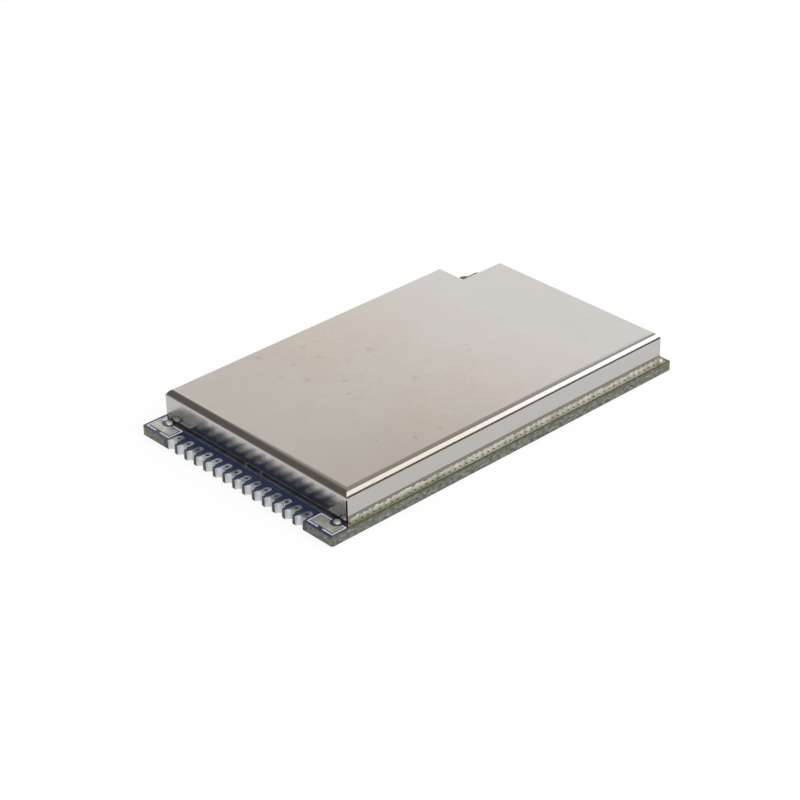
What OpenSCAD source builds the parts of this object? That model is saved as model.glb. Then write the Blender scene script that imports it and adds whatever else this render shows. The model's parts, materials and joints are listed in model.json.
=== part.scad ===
// Radio tag reader module: a castellated circuit board under one folded shield can.
// Millimetres, +Z up. The origin is the middle of the board's underside.
// The castellated edge faces -X, and the can's notched corner is at +X +Y.

/* [Board] */
// Length of the board along X
board_l = 40.5; // [39:0.5:48]
// Width of the board along Y
board_w = 24.5; // [22:0.5:30]
// Thickness of the bare laminate
core_t = 0.8; // [0.6:0.1:1.6]
// Thickness of the copper and mask films on each face
film_t = 0.04; // [0.02:0.01:0.08]
// Radius of the board's corners
board_corner_r = 0.2; // [0.15:0.05:0.6]

/* [Edge terminals] */
// Least length kept free of terminals at each end of the castellated edge
corner_room = 3.4; // [2.9:0.1:3.5]
// Spacing of the terminals, which fill the edge between the corners
terminal_pitch = 1.27; // [1.15:0.01:1.35]
// Radius of the half-holes drilled in the laminate
castellation_r = 0.45; // [0.3:0.01:0.46]
// Thickness of the plating in the holes
plating_t = 0.05; // [0.02:0.01:0.08]
// Width of a terminal's land
land_w = 0.95; // [0.93:0.01:1.05]
// Length of a terminal's land from the board's edge
land_l = 1.35; // [1.25:0.05:1.7]
// Radius of the open via in each land
land_via_r = 0.15; // [0.1:0.01:0.2]

/* [Corner lands] */
// Gap from a corner frame to the board's edges
frame_inset = 0.25; // [0.15:0.05:0.4]
// Gap from a corner frame to the last terminal
frame_gap = 0.2; // [0.1:0.05:0.4]
// Gap from a corner frame to the ground strip
frame_strip_gap = 0.05; // [0.04:0.01:0.2]
// Width of the printed line
line_w = 0.15; // [0.1:0.01:0.2]
// Thickness of the printed line
ink_t = 0.02; // [0.01:0.01:0.05]
// Length of the break in the line that faces the board's edge
line_break = 0.55; // [0.3:0.05:1]
// Clear border between a frame's line and its land
land_border = 0.1; // [0.05:0.01:0.2]
// Distance of the round land from the board's long edge
round_land_y = 1.4; // [1.2:0.1:1.8]
// Radius of the round land beside a corner land
round_land_r = 0.34; // [0.3:0.02:0.4]
// Radius of the hole in the round land
round_hole_r = 0.14; // [0.1:0.01:0.2]
// Clear ring round the round land
round_land_gap = 0.26; // [0.15:0.01:0.35]

/* [Shield can] */
// Gap from the can to the castellated edge
can_gap_pads = 2.2; // [2.1:0.05:3]
// Gap from the can to the near long edge
can_gap_near = 0.6; // [0.55:0.05:1]
// Gap from the can to the far long edge
can_gap_far = 0.6; // [0.45:0.05:0.8]
// Gap from the can to the far short edge
can_gap_end = 0.75; // [0.45:0.05:1]
// Height of the can above the board's face
can_h = 2.95; // [2.5:0.05:4]
// Thickness of the sheet
sheet_t = 0.18; // [0.1:0.02:0.3]
// Outside radius of the bends
bend_r = 0.7; // [0.5:0.05:1]
// Length of the notched corner along X
notch_l = 4.8; // [4.4:0.1:6]
// Width of the notched corner along Y
notch_w = 3.1; // [2.9:0.1:4]
// Width of the open seam at each folded corner
seam_w = 0.12; // [0.06:0.02:0.2]
// Radius of the relief hole at the notch's inner corner
relief_r = 0.3; // [0.2:0.05:0.5]
// Gap under the wall at the castellated end
foot_gap = 0.22; // [0.1:0.02:0.3]
// Width of a foot under that wall
foot_w = 0.3; // [0.2:0.05:0.6]
// Spacing of the two feet
foot_spacing = 1.95; // [1:0.05:6]

/* [Ground strip] */
// Reach of the ground strip outside the can's walls
strip_lip = 0.32; // [0.2:0.01:0.36]
// Reach of the ground strip inside the can's walls
strip_inner = 0.5; // [0.3:0.05:0.6]
// Width of the bare laminate along the near long edge and the far short edge
bare_edge = 0.2; // [0.1:0.01:0.22]
// Spacing of the stitching vias along the near long side
stitch_pitch = 0.65; // [0.5:0.05:1]
// Radius of a stitching via
stitch_r = 0.1; // [0.08:0.01:0.12]
// Distance of the stitching vias from the can's wall
stitch_offset = 0.06; // [0.05:0.01:0.1]
// Depth of a via's plug below the strip's face
plug_recess = 0.01; // [0.005:0.005:0.015]
// Leg of the solder fillet along the can's foot
fillet_leg = 0.12; // [0.08:0.01:0.16]
// Length of the fillet between two stitching vias
dash_l = 0.4; // [0.3:0.01:0.42]

/* [Parts under the can] */
// Clear room between the can's inner walls and the parts
side_room = 1.2; // [0.9:0.1:1.5]
// Clear room between neighbouring parts
part_gap = 0.8; // [0.6:0.1:1]
// Thickness of the metal leads and end plates
lead_t = 0.15; // [0.1:0.01:0.2]
// Reach of a solder land past the lead it carries
land_reach = 0.12; // [0.05:0.01:0.15]
// Side of the reader chip's square package
reader_size = 9; // [8:0.5:9]
// Height of the flat leadless packages
flat_h = 0.85; // [0.7:0.05:1.2]
// Side of the power amplifier's square package
amplifier_size = 5; // [4:0.5:6]
// Side of the controller's square moulding
controller_size = 7; // [6.5:0.5:7]
// Height of the controller's moulding
controller_h = 1.4; // [1:0.1:1.6]
// Reach of the controller's bent leads past its moulding
lead_reach = 1; // [0.8:0.05:1.2]
// Reach of the regulator's bent leads past its moulding
small_lead_reach = 0.6; // [0.5:0.05:0.8]
// Lead spacing of the chips
lead_pitch = 0.5; // [0.45:0.05:0.5]
// Distance from a chip's corner to its row of leads
lead_corner = 0.5; // [0.4:0.05:0.8]
// Length of the regulator's moulding
regulator_l = 2.9; // [2.7:0.1:3.2]
// Width of the regulator's moulding
regulator_w = 1.6; // [1.3:0.1:1.8]
// Height of the regulator's moulding
regulator_h = 1.1; // [0.9:0.05:1.3]
// Lead spacing of the regulator
regulator_pitch = 0.95; // [0.8:0.05:1]
// Length of the frequency reference
oscillator_l = 3.2; // [2.8:0.1:3.4]
// Width of the frequency reference
oscillator_w = 2.5; // [2:0.1:2.7]
// Height of the frequency reference's ceramic base
oscillator_h = 0.5; // [0.4:0.05:0.8]
// Height of the frequency reference's metal lid
lid_h = 0.3; // [0.2:0.05:0.5]
// Gap from the lid to the edge of its base
lid_inset = 0.15; // [0.1:0.01:0.3]
// Side of the lands under the frequency reference
oscillator_land = 0.8; // [0.6:0.05:0.9]
// Length of the coupler
coupler_l = 4; // [3.2:0.1:4.4]
// Width of the coupler
coupler_w = 2.5; // [2:0.1:2.8]
// Height of the coupler
coupler_h = 1; // [0.8:0.05:1.4]
// Side of the antenna filter
filter_size = 3; // [2.5:0.1:3.2]
// Height of the antenna filter
filter_h = 1; // [0.8:0.05:1.4]
// Side of the supply inductor
inductor_size = 4; // [3:0.5:5]
// Leg of the supply inductor's cut corners
inductor_cut = 0.45; // [0.2:0.05:0.6]
// Radius of the recess in the supply inductor's top
inductor_recess_r = 1.4; // [1:0.05:1.4]
// Height of the supply inductor
inductor_h = 1.8; // [1:0.1:2]
// Width of the supply inductor's end plates
inductor_end_w = 2.8; // [2:0.1:3]
// Length of the supply inductor's end plates
inductor_end_l = 1; // [0.6:0.05:1.2]
// Length of a bulk capacitor
bulk_l = 3.5; // [3:0.1:4]
// Width of a bulk capacitor
bulk_w = 2.8; // [2:0.1:3]
// Height of a bulk capacitor
bulk_h = 1.9; // [1.2:0.1:2]
// Width of a bulk capacitor's end plates
bulk_end_w = 2.2; // [1.5:0.1:2.2]
// Length of a bulk capacitor's end plates under the body
bulk_end_l = 0.9; // [0.5:0.05:1.2]
// Length of a small chip part
chip_l = 1; // [0.8:0.1:1.2]
// Width and height of a small chip part
chip_w = 0.5; // [0.4:0.05:0.6]
// Length of a small chip part's metal end
chip_end_l = 0.22; // [0.15:0.01:0.3]
// Spacing of small chip parts in a row
chip_pitch = 1; // [0.9:0.05:1.1]

/* [Antenna socket] */
// Side of the socket's square base
socket_size = 2; // [1.9:0.05:2.2]
// Height of the socket's base
socket_base_h = 0.3; // [0.25:0.05:0.4]
// Height of the socket above the board's face
socket_h = 1.1; // [0.9:0.05:1.6]
// Outside radius of the socket's ring
socket_ring_r = 0.8; // [0.7:0.02:0.9]
// Wall of the socket's ring
socket_ring_t = 0.14; // [0.1:0.01:0.18]
// Width of the catch groove round the socket's ring
socket_groove_w = 0.36; // [0.2:0.02:0.36]
// Depth of the catch groove
socket_groove_d = 0.05; // [0.03:0.01:0.08]
// Height of the lip above the catch groove
socket_lip_h = 0.12; // [0.06:0.01:0.13]
// Radius of the socket's centre pin
socket_pin_r = 0.2; // [0.15:0.01:0.25]
// Height of the socket's centre pin
socket_pin_h = 0.88; // [0.6:0.02:0.9]
// Width of the socket's ground straps
socket_strap_w = 0.7; // [0.5:0.05:1]
// Length of a ground strap's foot on the board
socket_foot_l = 0.25; // [0.2:0.05:0.4]
// Gap from the can's notch to a strap's foot
socket_gap = 0.72; // [0.4:0.02:0.8]

/* [Hidden] */
$fn = 48;

// Overlap of cutting tools past the faces they cut
over = 1;

// Heights of the board's layers
core_z = film_t;
top_film_z = core_z + core_t;
board_t = top_film_z + film_t;

// Board's edges
edge_x = -board_l / 2;
near_y = -board_w / 2;

// Can's outer walls, notch and top
can_x0 = edge_x + can_gap_pads;
can_x1 = board_l / 2 - can_gap_end;
can_y0 = near_y + can_gap_near;
can_y1 = board_w / 2 - can_gap_far;
notch_x = can_x1 - notch_l;
notch_y = can_y1 - notch_w;

// Terminals and the corner zones left beside them
terminal_count = floor((board_w - land_w - 2 * corner_room) / terminal_pitch) + 1;
terminal_span = (terminal_count - 1) * terminal_pitch;
land_via_x = land_l - land_w / 2;
corner_zone = (board_w - terminal_span - land_w) / 2;
frame_l = corner_zone - frame_inset - frame_gap;
frame_w = can_gap_pads - strip_lip - frame_inset - frame_strip_gap;
bite_r = round_land_r + round_land_gap;

// Row of stitching vias
stitch_y = can_y0 - stitch_offset;
stitch_room = can_x1 - can_x0 - 2 * stitch_offset;
stitch_count = floor(stitch_room / stitch_pitch) + 1;
stitch_x0 = (can_x0 + can_x1 - (stitch_count - 1) * stitch_pitch) / 2;

// Inner walls, and the room for parts
in_x0 = can_x0 + sheet_t + side_room;
in_x1 = can_x1 - sheet_t - side_room;
in_y0 = can_y0 + sheet_t + side_room;
in_y1 = can_y1 - sheet_t - side_room;

// Bodies of the smaller packages: length, width, height
regulator_body = [regulator_l, regulator_w, regulator_h];
oscillator_body = [oscillator_l, oscillator_w, oscillator_h];
coupler_body = [coupler_l, coupler_w, coupler_h];
filter_body = [filter_size, filter_size, filter_h];

// Places of the parts under the can
controller_half = controller_size / 2 + lead_reach;
controller_at = [in_x0 + controller_half, in_y0 + controller_half];
controller_row_at = [controller_at.x, controller_at.y + controller_half + part_gap + chip_l / 2];
amplifier_at = [in_x1 - amplifier_size / 2, in_y0 + amplifier_size / 2];
reader_x = (controller_at.x + controller_half + amplifier_at.x - amplifier_size / 2) / 2;
reader_at = [reader_x, in_y0 + reader_size / 2];
reader_row_at = [reader_at.x, reader_at.y + reader_size / 2 + part_gap + chip_l / 2];
amplifier_row_at = [amplifier_at.x, amplifier_at.y + amplifier_size / 2 + part_gap + chip_l / 2];
oscillator_at = [reader_at.x, reader_row_at.y + chip_l / 2 + part_gap + oscillator_body.y / 2];
coupler_at = [amplifier_at.x, amplifier_row_at.y + chip_l / 2 + part_gap + coupler_body.y / 2];
filter_at = [coupler_at.x, coupler_at.y + coupler_body.y / 2 + part_gap + filter_body.y / 2];
regulator_half = regulator_body.y / 2 + small_lead_reach;
regulator_at = [in_x0 + regulator_body.x / 2, in_y1 - regulator_half];
inductor_x = regulator_at.x + regulator_body.x / 2 + part_gap + inductor_size / 2;
inductor_at = [inductor_x, in_y1 - inductor_size / 2];
bulk_at = [inductor_at.x + inductor_size / 2 + part_gap + bulk_l / 2, in_y1 - bulk_w / 2];

// Middle of the antenna socket, beside the notch's wall
socket_toe = socket_size / 2 + lead_t + socket_foot_l;
socket_at = [notch_x + socket_gap + socket_toe, (notch_y + board_w / 2) / 2];

// Leads on a side of the reader chip, the amplifier and the controller
reader_leads = floor((reader_size - 2 * lead_corner) / lead_pitch);
amplifier_leads = floor((amplifier_size - 2 * lead_corner) / lead_pitch);
controller_leads = floor((controller_size - 2 * lead_corner) / lead_pitch);
flat_lead_l = 0.4;
flat_slug_gap = 0.4;
lead_w = 0.22;
foot_l = 0.5;
small_foot_l = 0.3;
dimple_r = 0.3;
dimple_depth = 0.05;
stripe_w = 0.6;
end_lift = 0.1;

// Chip parts in their rows: place, count
capacitor_rows = [[controller_row_at, 8], [reader_row_at, 9], [amplifier_row_at, 5]];
resistor_row_at = [controller_at.x, controller_row_at.y + chip_l + part_gap];
resistor_rows = [[resistor_row_at, 7]];

// Flat rectangle with rounded corners, centred
module rounded_plate(l, w, r) {
    square([l - 2 * r, w], center = true);
    square([l, w - 2 * r], center = true);
    for (x = [-1, 1], y = [-1, 1])
        translate([x * (l / 2 - r), y * (w / 2 - r)])
            circle(r);
}

// Board's outline, shrunk by a margin
module board_outline(margin = 0) {
    rounded_plate(board_l - 2 * margin, board_w - 2 * margin, board_corner_r);
}

// Outline of the upper mask, short of the bare edges
module mask_outline() {
    intersection() {
        board_outline();
        translate([edge_x - over, near_y + bare_edge])
            square([board_l + over - bare_edge, board_w]);
    }
}

// Copies of a child at every terminal, with the board's edge at x = 0
module at_terminals() {
    for (i = [0 : terminal_count - 1])
        translate([edge_x, i * terminal_pitch - terminal_span / 2])
            children();
}

// Copies of a child at both corners of the castellated edge, the second mirrored
module at_corners() {
    for (side = [0, 1])
        mirror([0, side])
            translate([edge_x, near_y])
                children();
}

// Outline of a terminal's land, with a rounded inner end
module land_outline() {
    translate([0, -land_w / 2])
        square([land_via_x, land_w]);
    translate([land_via_x, 0])
        circle(land_w / 2);
}

// Can's notched outline, grown by a margin
module can_outline(grow) {
    difference() {
        translate([can_x0 - grow, can_y0 - grow])
            square([can_x1 - can_x0 + 2 * grow, can_y1 - can_y0 + 2 * grow]);
        translate([notch_x + grow, notch_y + grow])
            square([notch_l + over, notch_w + over]);
    }
}

// Outline of a corner frame's outer or inner edge
module frame_outline(margin) {
    translate([frame_inset + margin, frame_inset + margin])
        square([frame_w - 2 * margin, frame_l - 2 * margin]);
}

// Place of the round land in the back of a corner frame
module at_round_land() {
    translate([frame_inset + frame_w, round_land_y])
        children();
}

// Corner land inside its frame, with a round bite
module corner_land_outline() {
    difference() {
        frame_outline(line_w + land_border);
        at_round_land() circle(bite_r);
    }
}

// Tinned strip that the can stands on
module ground_outline() {
    difference() {
        intersection() {
            union() {
                can_outline(strip_lip);
                translate([can_x0 - strip_lip, near_y])
                    square([can_x1 - can_x0 + 2 * strip_lip, can_gap_near]);
            }
            board_outline(bare_edge);
        }
        can_outline(-sheet_t - strip_inner);
        at_corners() at_round_land() circle(bite_r);
    }
}

// Places of the stitching vias
module at_stitches() {
    for (i = [0 : stitch_count - 1])
        translate([stitch_x0 + i * stitch_pitch, stitch_y])
            children();
}

// Rectangle given by its middle and size
module pad(at, size) {
    translate([at.x - size.x / 2, at.y - size.y / 2])
        square(size);
}

// Copies of a child on the four sides of a chip, count on a side, facing +X
module around(at, count, pitch) {
    for (turn = [0, 90, 180, 270], i = [0 : count - 1])
        translate(at)
            rotate(turn)
                translate([0, (i - (count - 1) / 2) * pitch])
                    children();
}

// Lands of a leadless chip, or of its leads with no reach
module flat_leads_outline(at, size, count, reach) {
    around(at, count, lead_pitch)
        translate([size / 2 - flat_lead_l, -lead_w / 2])
            square([flat_lead_l + reach, lead_w]);
    pad(at, [1, 1] * (size - 2 * (flat_lead_l + flat_slug_gap)));
}

// Places of the parts in a row of small chip parts
module at_chips(rows) {
    for (row = rows, i = [0 : row[1] - 1])
        translate(row[0] + [(i - (row[1] - 1) / 2) * chip_pitch, 0])
            children();
}

// Lands under both ends of each small chip part in some rows
module chip_lands_outline(rows) {
    at_chips(rows)
        for (side = [-1, 1])
            pad([0, side * (chip_l - chip_end_l) / 2], [chip_w, chip_end_l] + [1, 1] * land_reach);
}

// Lands under a pair of end plates along X
module end_lands_outline(at, length, width, foot) {
    for (side = [-1, 1])
        pad([at.x + side * (length - foot) / 2, at.y], [foot, width] + [1, 1] * land_reach);
}

// Side stripes of a ceramic block, two on each long side
module at_stripes(at, body) {
    for (x = [-1, 1], y = [0, 1])
        translate(at)
            mirror([0, y])
                translate([x * (body.x / 2 - stripe_w), body.y / 2])
                    children();
}

// Lands under a block's side stripes
module stripe_lands_outline(at, body) {
    at_stripes(at, body)
        pad([0, lead_t / 2], [stripe_w, lead_t] + [1, 1] * land_reach);
}

// Feet of the regulator's bent leads, three on one side and two on the other
module at_regulator_leads() {
    for (i = [-1, 0, 1])
        translate(regulator_at)
            rotate(-90)
                translate([0, i * regulator_pitch])
                    children();
    for (i = [-1, 1])
        translate(regulator_at)
            rotate(90)
                translate([0, i * regulator_pitch])
                    children();
}

// Land under the foot of a bent lead whose toe is at a reach from the chip's middle
module foot_land(toe, foot) {
    pad([toe - foot / 2, 0], [foot, lead_w] + [1, 1] * land_reach);
}

// Copies of a child at both ground straps of the antenna socket, facing +X
module at_straps() {
    for (side = [0, 180])
        translate(socket_at)
            rotate(side)
                children();
}

// Every land under the parts
module part_lands_outline() {
    flat_leads_outline(reader_at, reader_size, reader_leads, land_reach);
    flat_leads_outline(amplifier_at, amplifier_size, amplifier_leads, land_reach);
    around(controller_at, controller_leads, lead_pitch)
        foot_land(controller_half, foot_l);
    at_regulator_leads()
        foot_land(regulator_half, small_foot_l);
    end_lands_outline(inductor_at, inductor_size, inductor_end_w, inductor_end_l);
    bulk_lands_outline();
    for (x = [-1, 1], y = [-1, 1])
        pad([oscillator_at.x + x * oscillator_l / 4, oscillator_at.y + y * oscillator_w / 4],
            [oscillator_land, oscillator_land]);
    stripe_lands_outline(coupler_at, coupler_body);
    stripe_lands_outline(filter_at, filter_body);
    chip_lands_outline(capacitor_rows);
    chip_lands_outline(resistor_rows);
    at_straps()
        pad([socket_toe - socket_foot_l / 2, 0], [socket_foot_l, socket_strap_w] + [1, 1] * land_reach);
    translate(socket_at)
        circle(socket_pin_r + land_reach);
}

// Two bulk capacitors, one behind the other
module at_bulk() {
    for (i = [0, 1])
        translate(bulk_at - [0, i * (bulk_w + part_gap)])
            children();
}

// Lands under the bulk capacitors' ends
module bulk_lands_outline() {
    at_bulk()
        end_lands_outline([0, 0], bulk_l + 2 * lead_t, bulk_end_w, bulk_end_l);
}

// Layer on one of the board's faces
module film(z) {
    translate([0, 0, z])
        linear_extrude(film_t)
            children();
}

// Glass-fibre core with half-holes, land vias and corner vias
module laminate() {
    color([0.45, 0.46, 0.38])
        translate([0, 0, core_z])
            difference() {
                linear_extrude(core_t)
                    board_outline();
                translate([0, 0, -over])
                    linear_extrude(core_t + 2 * over) {
                        at_terminals() circle(castellation_r);
                        at_terminals() translate([land_via_x, 0]) circle(land_via_r + plating_t);
                        at_corners() at_round_land() circle(round_hole_r + plating_t);
                    }
            }
}

// Blue film on the upper face, open round every land and along the bare edges
module top_solder_mask() {
    color([0.1, 0.15, 0.33])
        film(top_film_z)
            difference() {
                mask_outline();
                at_terminals() land_outline();
                at_terminals() circle(castellation_r);
                at_corners() corner_land_outline();
                at_corners() at_round_land() circle(round_land_r);
                ground_outline();
                part_lands_outline();
            }
}

// Blue film on the underside, open round the terminals
module bottom_solder_mask() {
    color([0.1, 0.15, 0.33])
        film(0)
            difference() {
                board_outline();
                at_terminals() land_outline();
                at_terminals() circle(castellation_r);
                at_corners() at_round_land() circle(round_land_r);
            }
}

// Plated terminals: a land on each face, the half-barrel between them and the via
module edge_terminals() {
    color([0.8, 0.8, 0.8])
        at_terminals()
            difference() {
                union() {
                    for (z = [0, top_film_z])
                        film(z) land_outline();
                    cylinder(r = castellation_r, h = board_t);
                    translate([land_via_x, 0])
                        cylinder(r = land_via_r + plating_t, h = board_t);
                }
                translate([0, 0, -over]) {
                    cylinder(r = castellation_r - plating_t, h = board_t + 2 * over);
                    translate([land_via_x, 0])
                        cylinder(r = land_via_r, h = board_t + 2 * over);
                    translate([-2 * over, -over])
                        cube([2 * over, 2 * over, board_t + 2 * over]);
                }
            }
}

// Tinned lands at both ends of the castellated edge
module corner_lands() {
    color([0.76, 0.77, 0.72])
        film(top_film_z)
            at_corners() corner_land_outline();
}

// Round plated vias beside the corner lands
module corner_vias() {
    color([0.72, 0.72, 0.7])
        at_corners()
            at_round_land()
                difference() {
                    union() {
                        for (z = [0, top_film_z])
                            film(z) circle(round_land_r);
                        cylinder(r = round_hole_r + plating_t, h = board_t);
                    }
                    translate([0, 0, -over])
                        cylinder(r = round_hole_r, h = board_t + 2 * over);
                }
}

// White line frames round the corner lands
module silkscreen_frames() {
    color([0.86, 0.86, 0.92])
        translate([0, 0, board_t])
            linear_extrude(ink_t)
                at_corners()
                    difference() {
                        frame_outline(0);
                        frame_outline(line_w);
                        at_round_land() circle(bite_r);
                        translate([frame_inset - over, frame_inset + (frame_l - line_break) / 2])
                            square([2 * over, line_break]);
                    }
}

// Tinned strip under the can's walls, pierced by the stitching vias
module ground_frame() {
    color([0.68, 0.68, 0.62])
        film(top_film_z)
            difference() {
                ground_outline();
                at_stitches() circle(stitch_r);
            }
}

// Dark plugs in the stitching vias
module via_plugs() {
    color([0.2, 0.19, 0.15])
        translate([0, 0, top_film_z])
            at_stitches()
                cylinder(r = stitch_r, h = film_t - plug_recess);
}

// Block with its two long top edges rounded, along X
module round_topped_bar(length, width, height, r) {
    rotate([90, 0, 90])
        linear_extrude(length) {
            translate([0, -over])
                square([width, height - r + over]);
            translate([r, -over])
                square([width - 2 * r, height + over]);
            for (x = [r, width - r])
                translate([x, height - r])
                    circle(r);
        }
}

// Block with all four top edges rounded, its bends meeting in a mitre at the corners
module round_topped_block(x0, x1, y0, y1, height, r) {
    translate([x0, y0])
        intersection() {
            round_topped_bar(x1 - x0, y1 - y0, height, r);
            translate([x1 - x0, 0])
                rotate(90)
                    round_topped_bar(y1 - y0, x1 - x0, height, r);
        }
}

// Notched form of the can, its walls moved inwards by a margin
module can_form(margin) {
    height = can_h - margin;
    r = bend_r - margin;
    round_topped_block(can_x0 + margin, can_x1 - margin, can_y0 + margin, notch_y - margin, height, r);
    round_topped_block(can_x0 + margin, notch_x - margin, can_y0 + margin, can_y1 - margin, height, r);
}

// Slanting cut through a folded corner, up to the foot of the bends
module corner_seam(at, turn) {
    translate(at)
        rotate(turn)
            translate([-2 * sheet_t, -seam_w / 2, -2 * over])
                cube([4 * sheet_t, seam_w, can_h - bend_r + 2 * over]);
}

// Folded sheet-metal can with bends, corner seams, a notched corner and feet
module shield_can() {
    color([0.74, 0.71, 0.69])
        translate([0, 0, board_t])
            difference() {
                can_form(0);
                can_form(sheet_t);
                translate([can_x0 - over, can_y0 - over, -2 * over])
                    cube([can_x1 - can_x0 + 2 * over, can_y1 - can_y0 + 2 * over, 2 * over]);
                corner_seam([can_x0, can_y0], 45);
                corner_seam([can_x0, can_y1], -45);
                corner_seam([can_x1, can_y0], -45);
                corner_seam([can_x1, notch_y], 45);
                corner_seam([notch_x, can_y1], 45);
                corner_seam([notch_x, notch_y], 45);
                translate([notch_x - relief_r / 2, notch_y - relief_r / 2, can_h - bend_r - relief_r])
                    cylinder(r = relief_r, h = relief_r + bend_r + over);
                difference() {
                    translate([can_x0 - over, can_y0 + sheet_t, -over])
                        cube([over + sheet_t, can_y1 - can_y0 - 2 * sheet_t, over + foot_gap]);
                    for (side = [-1, 1])
                        translate([can_x0 - 2 * over, side * foot_spacing / 2 - foot_w / 2, -2 * over])
                            cube([4 * over, foot_w, 4 * over]);
                }
            }
}

// Section of the solder fillet, hollow between the wall and the board
function fillet_points(leg, steps = 5) =
    concat([[0, 0]], [for (i = [0 : steps]) let (a = 90 * i / steps, k = 0.25 * sin(2 * a)) [
        leg * (1 - sin(a)) * (1 - k),
        leg * (1 - cos(a)) * (1 - k)
    ]]);

// Fillet along a wall, running along +X with the wall at y = 0 and the solder on -Y
module fillet(length) {
    rotate([90, 0, 90])
        linear_extrude(length)
            mirror([1, 0])
                polygon(fillet_points(fillet_leg));
}

// Solder along the can's foot: dashes between the vias, and whole fillets on the far side and end
module can_solder() {
    color([0.78, 0.77, 0.72])
        translate([0, 0, board_t]) {
            for (i = [1 : stitch_count - 1])
                translate([stitch_x0 + (i - 0.5) * stitch_pitch - dash_l / 2, can_y0])
                    fillet(dash_l);
            translate([notch_x - bend_r, can_y1])
                rotate(180)
                    fillet(notch_x - can_x0 - 2 * bend_r);
            translate([can_x1, can_y0 + bend_r])
                rotate(90)
                    fillet(notch_y - can_y0 - 2 * bend_r);
        }
}

// Tinned lands that carry the parts
module component_lands() {
    color([0.75, 0.75, 0.72])
        film(top_film_z)
            part_lands_outline();
}

// Moulded block on raised feet, with a dimple over its first lead
module moulding(at, size, lift) {
    translate([at.x, at.y, board_t + lift])
        difference() {
            translate([-size.x / 2, -size.y / 2])
                cube([size.x, size.y, size.z - lift]);
            translate([-size.x / 2 + 2 * dimple_r, size.y / 2 - 2 * dimple_r, size.z - lift - dimple_depth])
                cylinder(r = dimple_r, h = dimple_depth + over);
        }
}

// Moulding of the radio transceiver
module reader_chip() {
    color([0.13, 0.13, 0.14])
        moulding(reader_at, [reader_size, reader_size, flat_h], lead_t);
}

// Leads and heat slug under the radio transceiver
module reader_chip_leads() {
    color([0.75, 0.75, 0.74])
        translate([0, 0, board_t])
            linear_extrude(lead_t)
                flat_leads_outline(reader_at, reader_size, reader_leads, 0);
}

// Moulding of the antenna amplifier
module power_amplifier() {
    color([0.15, 0.15, 0.15])
        moulding(amplifier_at, [amplifier_size, amplifier_size, flat_h], lead_t);
}

// Leads and heat slug under the antenna amplifier
module power_amplifier_leads() {
    color([0.75, 0.75, 0.74])
        translate([0, 0, board_t])
            linear_extrude(lead_t)
                flat_leads_outline(amplifier_at, amplifier_size, amplifier_leads, 0);
}

// Bent lead along +X: out of the moulding, down and along the board
module bent_lead(half, reach, foot, height) {
    mid = height / 2;
    knee = half + reach - foot;
    translate([0, lead_w / 2, board_t])
        rotate([90, 0, 0])
            linear_extrude(lead_w)
                polygon([
                    [half, mid], [half, mid + lead_t], [knee - lead_t, mid + lead_t],
                    [knee, mid], [knee, lead_t], [half + reach, lead_t],
                    [half + reach, 0], [knee - lead_t, 0], [knee - lead_t, mid]
                ]);
}

// Moulding of the controller
module controller_chip() {
    color([0.12, 0.12, 0.13])
        moulding(controller_at, [controller_size, controller_size, controller_h], end_lift);
}

// Bent leads of the controller
module controller_chip_leads() {
    color([0.78, 0.78, 0.78])
        around(controller_at, controller_leads, lead_pitch)
            bent_lead(controller_size / 2, lead_reach, foot_l, controller_h);
}

// Moulding of the voltage regulator
module regulator() {
    color([0.14, 0.14, 0.14])
        moulding(regulator_at, regulator_body, end_lift);
}

// Bent leads of the voltage regulator
module regulator_leads() {
    color([0.78, 0.78, 0.78])
        at_regulator_leads()
            bent_lead(regulator_body.y / 2, small_lead_reach, small_foot_l, regulator_body.z);
}

// Ferrite core of the supply inductor, with cut corners and a round top recess
module inductor_core() {
    color([0.24, 0.24, 0.25])
        translate([inductor_at.x, inductor_at.y, board_t + end_lift])
            difference() {
                linear_extrude(inductor_h - end_lift)
                    intersection() {
                        square(inductor_size, center = true);
                        rotate(45)
                            square(sqrt(2) * (inductor_size - inductor_cut), center = true);
                    }
                translate([0, 0, inductor_h - 2 * end_lift])
                    cylinder(r = inductor_recess_r, h = over);
            }
}

// End plates under the supply inductor
module inductor_terminals() {
    color([0.78, 0.77, 0.74])
        translate([inductor_at.x, inductor_at.y, board_t])
            for (side = [0, 180])
                rotate(side)
                    translate([inductor_size / 2 - inductor_end_l, -inductor_end_w / 2])
                        cube([inductor_end_l, inductor_end_w, end_lift]);
}

// Moulded bodies of the bulk capacitors
module bulk_capacitors() {
    color([0.78, 0.6, 0.25])
        at_bulk()
            translate([-bulk_l / 2, -bulk_w / 2, board_t + end_lift])
                cube([bulk_l, bulk_w, bulk_h - end_lift]);
}

// Folded end plates of the bulk capacitors
module bulk_capacitor_ends() {
    color([0.78, 0.78, 0.76])
        at_bulk()
            for (side = [0, 180])
                rotate(side)
                    translate([bulk_l / 2, -bulk_end_w / 2, board_t]) {
                        translate([lead_t - bulk_end_l, 0])
                            cube([bulk_end_l, bulk_end_w, end_lift]);
                        cube([lead_t, bulk_end_w, bulk_h / 2]);
                    }
}

// Ceramic base of the frequency reference
module oscillator_base() {
    color([0.42, 0.4, 0.37])
        translate([oscillator_at.x - oscillator_body.x / 2, oscillator_at.y - oscillator_body.y / 2, board_t])
            cube(oscillator_body);
}

// Welded metal lid of the frequency reference
module oscillator_lid() {
    color([0.78, 0.76, 0.7])
        translate([oscillator_at.x, oscillator_at.y, board_t + oscillator_body.z])
            linear_extrude(lid_h)
                rounded_plate(oscillator_l - 2 * lid_inset, oscillator_w - 2 * lid_inset, dimple_r);
}

// Ceramic block standing on the board
module ceramic_block(at, body) {
    translate([at.x - body.x / 2, at.y - body.y / 2, board_t])
        cube(body);
}

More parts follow.
